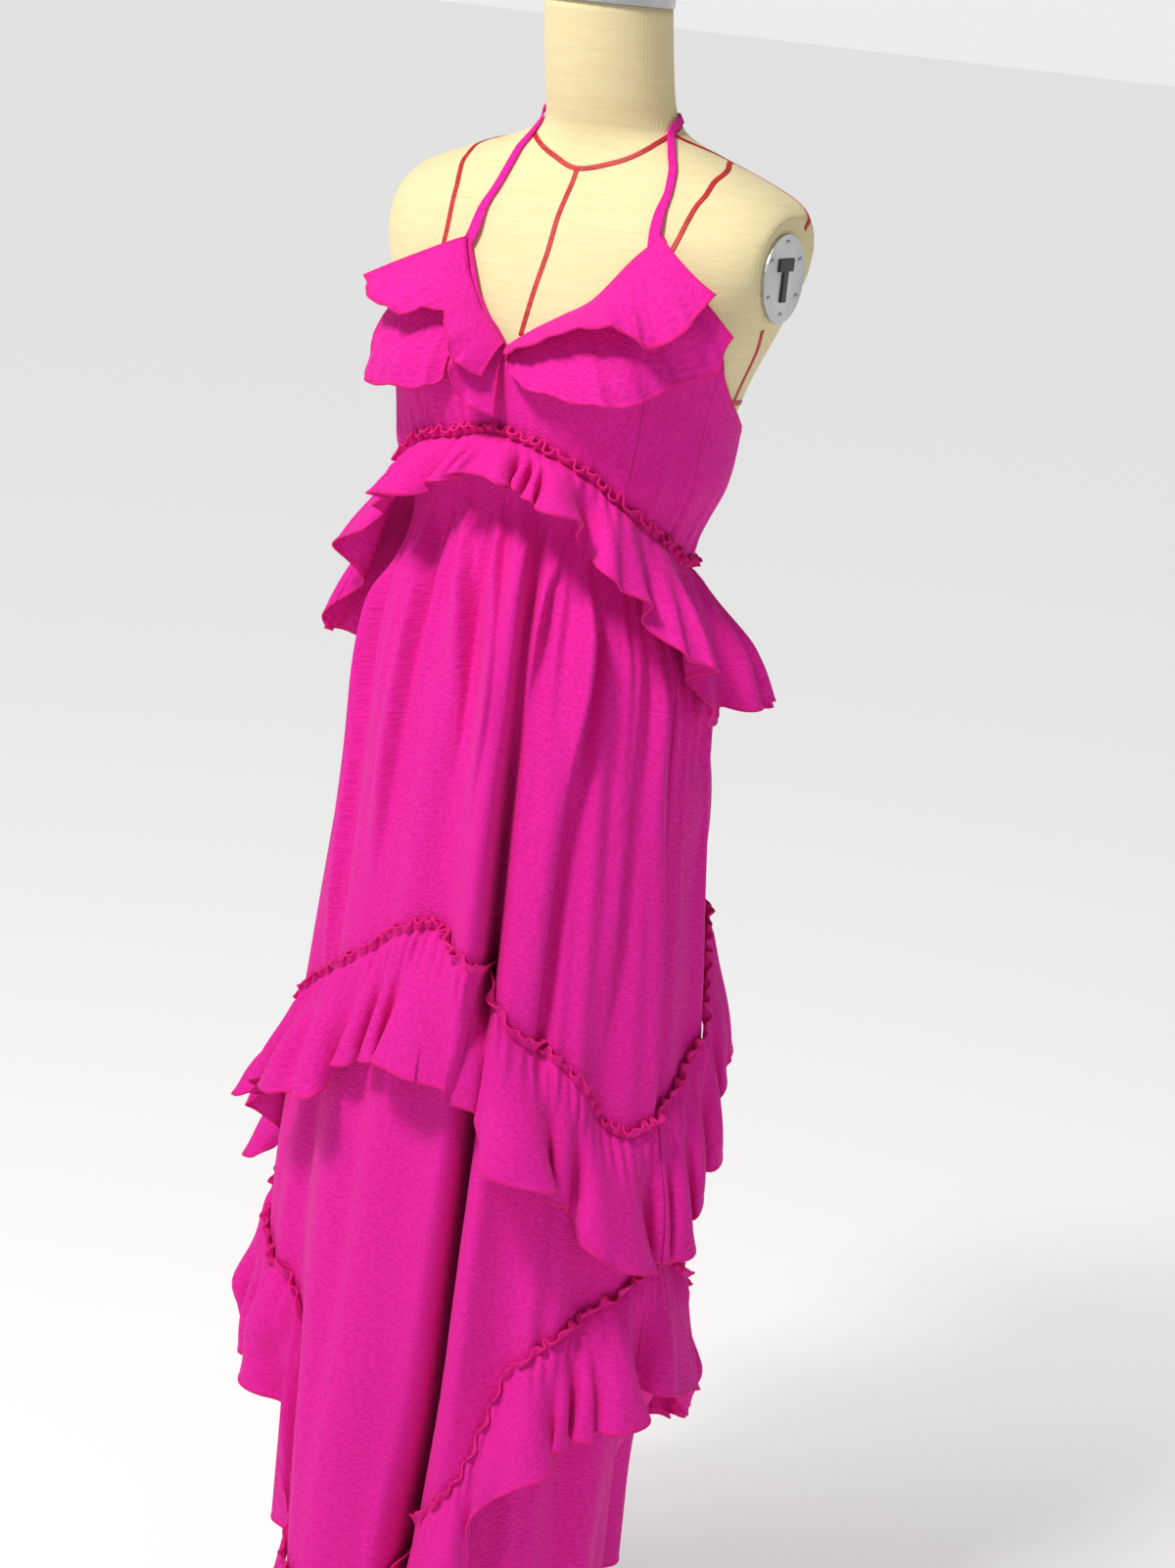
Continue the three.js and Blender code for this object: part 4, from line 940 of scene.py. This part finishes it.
def bodice_point(angle, height, top, bottom):
    down = (top - height) / np.maximum(top - bottom, 1)
    pucker = PUCKER * ripple(angle, 64, 0.9) * smooth(0.55, 1.0, down)
    crush = CRUSH * np.sin(height / 7 + 2.0 * ripple(angle, 11, 0.3)) * ripple(angle, 9, 1.9)
    seam_near = np.minimum(np.abs(fold(angle - LEFT_PRINCESS)), np.abs(fold(angle - RIGHT_PRINCESS)))
    groove = SEAM_GROOVE * np.exp(-(seam_near / 0.9) ** 2)
    loose = smooth(38, 70, np.abs(fold(angle)))
    folds = BLOUSE_FOLD * loose * ripple(angle, 30, 2.6) * smooth(0.3, 0.9, down)
    relief = np.maximum(pucker + crush + folds, LEAST_RELIEF)
    return place(angle, bodice_radius(angle, height) + relief - groove + PANEL_LIFT, height)


def bodice_panel(name, start, end, top_height):
    angles = seam_angles(start, end, 130, 0.6)
    shares = with_dense_ends(spaced(0, 1, 0.02), 0.012, 0.012)
    angle, share = np.meshgrid(angles, shares, indexing="ij")
    top = top_height(angle)
    bottom = line_height(WAIST_LINE, angle) + SEAM_GAP / 2
    height = mix(top, bottom, share)
    made = sheet(name, bodice_point(angle, height, top, bottom), ("top",))
    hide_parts(name.replace("cloth_", ""))


def back_top(angle):
    return curve(BACK_EDGE["angle"], BACK_EDGE["height"], full_turn(angle))


def left_top(angle):
    return curve(LEFT_NECKLINE["angle"], LEFT_NECKLINE["height"], fold(angle))


def right_top(angle):
    return curve(RIGHT_NECKLINE["angle"], RIGHT_NECKLINE["height"], fold(angle))


bodice_panel("cloth_bodice_front_left", 0, LEFT_PRINCESS, left_top)
bodice_panel("cloth_bodice_front_right", RIGHT_PRINCESS, 0, right_top)
bodice_panel("cloth_bodice_side_left", LEFT_PRINCESS, SIDE_SEAM, back_top)
bodice_panel("cloth_bodice_side_right", -SIDE_SEAM, RIGHT_PRINCESS, back_top)
bodice_panel("cloth_bodice_back", SIDE_SEAM, 360 - SIDE_SEAM, back_top)
print("bodice:", {k: [round(x, 3) for x in v] for k, v in SEWN.items() if "bodice" in k})

# %% [markdown]
# ## Skirt
# The skirt is a front and a back panel, gathered into the waist seam, that fall into long folds. The left
# front laps over the middle in one deep narrow fold, and broad hollows press into both sides of the hem.
# The rows are close enough together for the pleats to keep their edges.

# %% Skirt panels
SKIRT_ROWS, HEM_WAVE = 115, 1.5


def skirt_panel(name, start, end, step):
    angles = seam_angles(start, end, 180, step)
    shares = with_dense_ends(spaced(0, 1, 1 / SKIRT_ROWS), 1 / 900, 1 / 900)
    angle, share = np.meshgrid(angles, shares, indexing="ij")
    top = line_height(WAIST_LINE, angle) - SEAM_GAP / 2
    height = mix(top, HEM_HEIGHT + HEM_WAVE * ripple(angle, 14, 0.8), share)
    made = sheet(name, place(angle, skirt_radius(angle, height), height), ("low",))
    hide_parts(name.replace("cloth_", ""))


skirt_panel("cloth_skirt_front", -SIDE_SEAM, SIDE_SEAM, 0.62)
skirt_panel("cloth_skirt_back", SIDE_SEAM, 360 - SIDE_SEAM, 0.85)
print("skirt:", {k: [round(x, 3) for x in v] for k, v in SEWN.items() if "skirt" in k})

# %% [markdown]
# ## Ruffles
# A ruffle is a long strip, gathered and stitched 9 mm below its top edge. Above the stitches its header
# is scrunched into small loops. Below them the fine gathers merge into flutes, and the flutes into the
# wide waves of the table. A simulation would need a very fine mesh for that, so each of the three
# sizes of wave is drawn with its own sine, bent sideways until the loops lean over one another.

# %% Sizes of the ruffles
HEADER = 9
SEAM_LIFT, SEAM_GATHER = CLOTH + SEAM_GAP + 0.4, 0.5
HEADER_LIFT, HEADER_GATHER = CLOTH + 4.8, 4.3
LOOP_OPEN, LOOP_LEAN, LOOP_DIP = 0.13, 0.1, 2.4
HANG_LIFT, OVER_FOLD, RISE, FLATTENED, DIP = 5.2, 5, 0.85, 0.75, 6
SWING, LEAN, OPEN = 0.095, 0.7, 0.06
LEVELLED, LEVEL_OUT = 1.15, (15, 45)
GATHER_OUT, FLUTE_OUT, FLUTE_DIP, FLUTE_SWING, FLUTE_OPEN = 1.9, 200, 100, 28, 22


# %% Places on a ruffle
def wave_at(waves, angle):
    """How far round its wave an angle lies, that wave's width, and its values from the table."""
    crests = waves["crest"]
    count = len(crests)
    here = fold(angle)
    k = np.searchsorted(crests, here, side="right")
    before, after = (k + count - 1) % count, k % count
    start = np.where(k == 0, crests[before] - 360, crests[before])
    end = np.where(k == count, crests[after] + 360, crests[after])
    share = (here - start) / (end - start)
    eased = smooth(0, 1, share)
    value = {c: mix(waves[c][before], waves[c][after], eased) for c in ("out", "trough", "drop")}
    return 2 * np.pi * share, end - start, value


def ruffle_bed(angle, height):
    """What a ruffle hangs over: the skirt, with its hollows bridged and its pleats kept."""
    crease = creases(angle, height)
    sunk = FOLLOWED * crease * smooth(FOLLOW_FROM, FOLLOW_TO, crease)
    folds = np.maximum(pleat_edges(angle, height) + slit(angle, height), 0)
    return skirt_envelope(angle, height) - sunk + folds


def surface_normal(surface, angle, height):
    east = surface(angle + 0.5, height) - surface(angle - 0.5, height)
    up = surface(angle, height + 3) - surface(angle, height - 3)
    normal = np.cross(east, up)
    return normal / np.maximum(np.linalg.norm(normal, axis=-1, keepdims=True), 1e-9)


def header_points(angle, up, seat_height, header_radius, normal, loop, gather, loops, seed):
    """The gathered strip above the stitches: loops that widen outwards and lean over one another."""
    uneven = HEADER * (1 + 0.2 * ripple(angle, loops // 2, seed + 1))
    height = seat_height + up * (uneven - LOOP_DIP * gather)
    lean = (LOOP_OPEN * np.sin(2 * loop) + LOOP_LEAN * np.sin(loop)) * 360 / loops * up
    lift = mix(SEAM_LIFT + SEAM_GATHER * gather, HEADER_LIFT + HEADER_GATHER * gather, up**1.2)
    return place(angle + lean, header_radius(angle, height), height) + normal * lift[..., None]


# %% How a ruffle hangs
def ruffle_points(angle, v, waves, seat_line, seat_radius, header_radius, loops, flutes, fullness, seed):
    """v runs from -1 at the top edge, through 0 at the stitches, to 1 at the hem."""
    seat_height = seat_line(angle)
    seat = place(angle, seat_radius(angle, seat_height), seat_height)
    normal = surface_normal(lambda a, h: place(a, seat_radius(a, h), h), angle, seat_height)
    loop = phase(angle, loops, seed, 1.5)
    uneven = 0.68 + 0.32 * ripple(angle, loops // 3, seed + 5)
    gather = np.cos(loop) * uneven
    header = header_points(angle, np.clip(-v, 0, 1), seat_height, header_radius, normal, loop, gather, loops,
                           seed)
    down = np.clip(v, 0, 1)
    turn, pitch, wave = wave_at(waves, angle)
    flute = phase(angle, flutes, seed + 3, 1.8)
    share = fullness / flutes
    level = 1 - LEVELLED * smooth(*LEVEL_OUT, wave["out"])
    dip = level * (DIP * np.cos(turn) + FLUTE_DIP * share * np.cos(flute))
    height = seat_height - down * (wave["drop"] + dip)
    deep = smooth(FOLLOW_FROM, FOLLOW_TO, creases(angle, height))
    crest = 0.5 + 0.5 * np.cos(turn)
    reach = mix(wave["trough"], wave["out"], crest) * (1 - FLATTENED * deep)
    leaning = (SWING * np.sin(turn + LEAN * down) + OPEN * np.sin(2 * turn)) * pitch * (1 - 0.6 * deep)
    swing = (leaning + (FLUTE_SWING * np.sin(flute) + FLUTE_OPEN * np.sin(2 * flute)) / flutes) * down**2
    seated = seat_radius(angle, seat_height)
    short = np.maximum(ruffle_bed(angle, seat_height) - seated, 0) * (1 - smooth(0, 0.6, down))
    fine = GATHER_OUT * gather * smooth(0, 0.06, down) * (1 - smooth(0.08, 0.42, down))
    fluted = FLUTE_OUT * share * np.cos(flute) * smooth(0.05, 0.8, down)
    curl = 1.2 * smooth(0.86, 1, down) * ripple(angle, loops // 2, seed + 4)
    out = HANG_LIFT + OVER_FOLD * deep + fine + fluted + curl + reach * down**RISE - short
    hung = place(angle + swing, np.maximum(ruffle_bed(angle, height), seated) + out, height)
    at_seam = seat + normal * (SEAM_LIFT + SEAM_GATHER * gather)[..., None]
    hung = mix(at_seam, hung, smooth(0, 0.1, down)[..., None])
    return np.where((v < 0)[..., None], header, hung)


# %% The three ruffles
FRONT_STEP, BACK_STEP = 0.28, 0.44
HEADER_ROWS = [-1, -0.86, -0.7, -0.5, -0.28, -0.1]
STITCH_WIDE, HEADER_MARK = 1.3, 0.35


def ruffle(name, waves, line, header_radius, seam_radius, loops, flutes, fullness, seed):
    seat_line = lambda angle: line_height(line, angle) - (SEAM_GAP / 2 if line is WAIST_LINE else 0)
    down = with_dense_ends(np.concatenate([[0, 0.02, 0.05], spaced(0.09, 1, 0.045)]), 0.02, 0.014)
    v_values = np.concatenate([HEADER_ROWS, down])
    for half, start, end in (("front", -SIDE_SEAM, SIDE_SEAM), ("back", SIDE_SEAM, 360 - SIDE_SEAM)):
        step = FRONT_STEP if half == "front" else BACK_STEP
        angle, v = np.meshgrid(seam_angles(start, end, seam_radius, step), v_values, indexing="ij")
        points = ruffle_points(angle, v, waves, seat_line, skirt_radius, header_radius, loops, flutes,
                               fullness, seed)
        from_stitches = v * np.where(v < 0, HEADER, 90)
        stitches = 0.8 * np.exp(-((from_stitches / STITCH_WIDE) ** 2)) + HEADER_MARK * np.clip(-v, 0, 1)
        made = sheet(f"cloth_{name}_{half}", points, ("top", "low"), np.clip(stitches, 0, 1))
        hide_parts(f"{name}_{half}")


ruffle("waist_ruffle", WAIST_WAVES, WAIST_LINE, bodice_radius, 125,
       loops=72, flutes=33, fullness=1.55, seed=0.6)
ruffle("knee_ruffle", KNEE_WAVES, KNEE_LINE, skirt_radius, 180,
       loops=118, flutes=27, fullness=1.2, seed=1.9)
ruffle("ankle_ruffle", ANKLE_WAVES, ANKLE_LINE, skirt_radius, 180,
       loops=118, flutes=29, fullness=1.2, seed=3.1)
print("ruffles:", {k: [round(x, 3) for x in v] for k, v in SEWN.items() if "ruffle" in k})

# %% [markdown]
# ## Bust flounces
# Each cup has two flounces, one over the other, cut as curved strips so that the hem is longer than the
# neckline seam they start in. That extra length makes them wave. Each is a grid between two lines of
# the table, from places on the neckline to places on the hem, and its outer tip is drawn in and turned up
# a little, as soft cloth does.

# %% Flounces
LOWER_LAYER, UPPER_LAYER = {"seat": 1.2, "rise": 0.9}, {"seat": 2.6, "rise": 0.65}
TIP_ROWS, TIP_CUT, TIP_RISE = 1.7, 0.15, 4
WAVE_ROWS, WAVE_OUT, WAVE_TURN, WAVE_RISE = 1.43, 1.5, 0.4, 1.2
CURL_ROWS, CURL_OUT = 0.61, 0.5


def flounce(name, shape, layer, seed, outer):
    """u counts the table's rows and v runs from the neckline to the hem. outer: the end with the tip."""
    count = len(shape["out"])
    index = np.arange(count, dtype=float)
    down = with_dense_ends(spaced(0, 1, 0.032), 0.016, 0.016)
    u, v = np.meshgrid(spaced(0, count - 1, 0.06), down, indexing="ij")
    at = {c: curve(index, shape[c], u) for c in FLOUNCE_COLUMNS.split()}
    tip = 1 - smooth(0, TIP_ROWS, np.abs(u - outer * (count - 1)))
    reach = v * (1 - TIP_CUT * tip**2)
    angle = mix(at["fromAngle"], at["toAngle"], reach)
    height = mix(at["fromHeight"], at["toHeight"], reach) + TIP_RISE * tip * v**3
    wave = 2 * np.pi * u / WAVE_ROWS + 0.8 * np.sin(u + seed) + seed
    curl = CURL_OUT * np.sin(2 * np.pi * u / CURL_ROWS + 2 * seed) * v
    small = WAVE_OUT * np.sin(wave) * v**1.5 + curl
    angle = angle + WAVE_TURN * np.cos(wave) * v**2
    height = height + WAVE_RISE * np.sin(wave + 0.6) * v**3
    out = CLOTH / 2 + layer["seat"] + (at["out"] - layer["seat"]) * v ** layer["rise"] + small
    points = place(angle, bodice_radius(angle, height) + out, height)
    made = sheet(f"cloth_{name}", points, ("low", "start", "end"))
    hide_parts(name)


flounce("flounce_lower_left", LEFT_LOWER, LOWER_LAYER, seed=0.5, outer=1)
flounce("flounce_upper_left", LEFT_UPPER, UPPER_LAYER, seed=1.4, outer=1)
flounce("flounce_lower_right", RIGHT_LOWER, LOWER_LAYER, seed=2.3, outer=0)
flounce("flounce_upper_right", RIGHT_UPPER, UPPER_LAYER, seed=3.2, outer=0)
print("flounces:", {k: [round(x, 3) for x in v] for k, v in SEWN.items() if "flounce" in k})

# %% [markdown]
# ## Halter straps
# A narrow strap runs from the peak of each cup round the neck, and the two meet at the nape. Each is a
# band on the form, tucked under its cup at the lower end so that it comes out of the seam.

# %% Straps
STRAP_WIDTH, STRAP_TAPER, STRAP_STEPS = 10, 0.32, 24
TUCK_DOWN, TUCK_LIFT = 14, 4.3
for name, route in (("halter_strap_left", LEFT_STRAP), ("halter_strap_right", RIGHT_STRAP)):
    angles, heights, lifts = (np.concatenate([route[c][:1], route[c]]) for c in ("angle", "height", "lift"))
    heights[0] -= TUCK_DOWN
    lifts[:2] = TUCK_LIFT
    made = band(f"cloth_{name}", angles, heights, lifts + CLOTH / 2, STRAP_WIDTH, CLOTH, "crepe",
                STRAP_STEPS, STRAP_TAPER)
    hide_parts(name)
print("straps:", {k: [round(x, 3) for x in v] for k, v in SEWN.items() if "strap" in k})

# %% [markdown]
# ## Finish
# Each cloth piece's size is the one measured along its sheet, and each kind of piece is listed with how it
# is held and what it rests on. A curved strip covers only part of its rectangle, so where its own area is
# small its width is narrowed to match that area.

LEAST_SHARE, FULL_SHARE = 0.4, 0.97
SKIRT_PANELS = ["cloth_skirt_front", "cloth_skirt_back"]
HELD = {"bodice": ("stretched", ["form_torso"]), "skirt": ("gathered", ["form_torso"]),
        "waist_ruffle": ("gathered", SKIRT_PANELS), "knee_ruffle": ("gathered", SKIRT_PANELS),
        "ankle_ruffle": ("gathered", SKIRT_PANELS),
        "flounce": ("hung", ["cloth_bodice_front_left", "cloth_bodice_front_right"]),
        "halter_strap": ("laid", ["form_torso"])}
for name, (wide, long, area) in SEWN.items():
    kind = next((k for k in HELD if name.startswith("cloth_" + k)), None)
    if kind is None:
        continue
    if area < LEAST_SHARE * wide * long:
        wide = area / long / LEAST_SHARE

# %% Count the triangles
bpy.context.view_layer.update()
triangles = sum(len(o.data.loop_triangles) or sum(len(p.vertices) - 2 for p in o.data.polygons)
                for o in bpy.context.scene.objects if o.type == "MESH" and not o.hide_render)
print("triangles:", triangles)
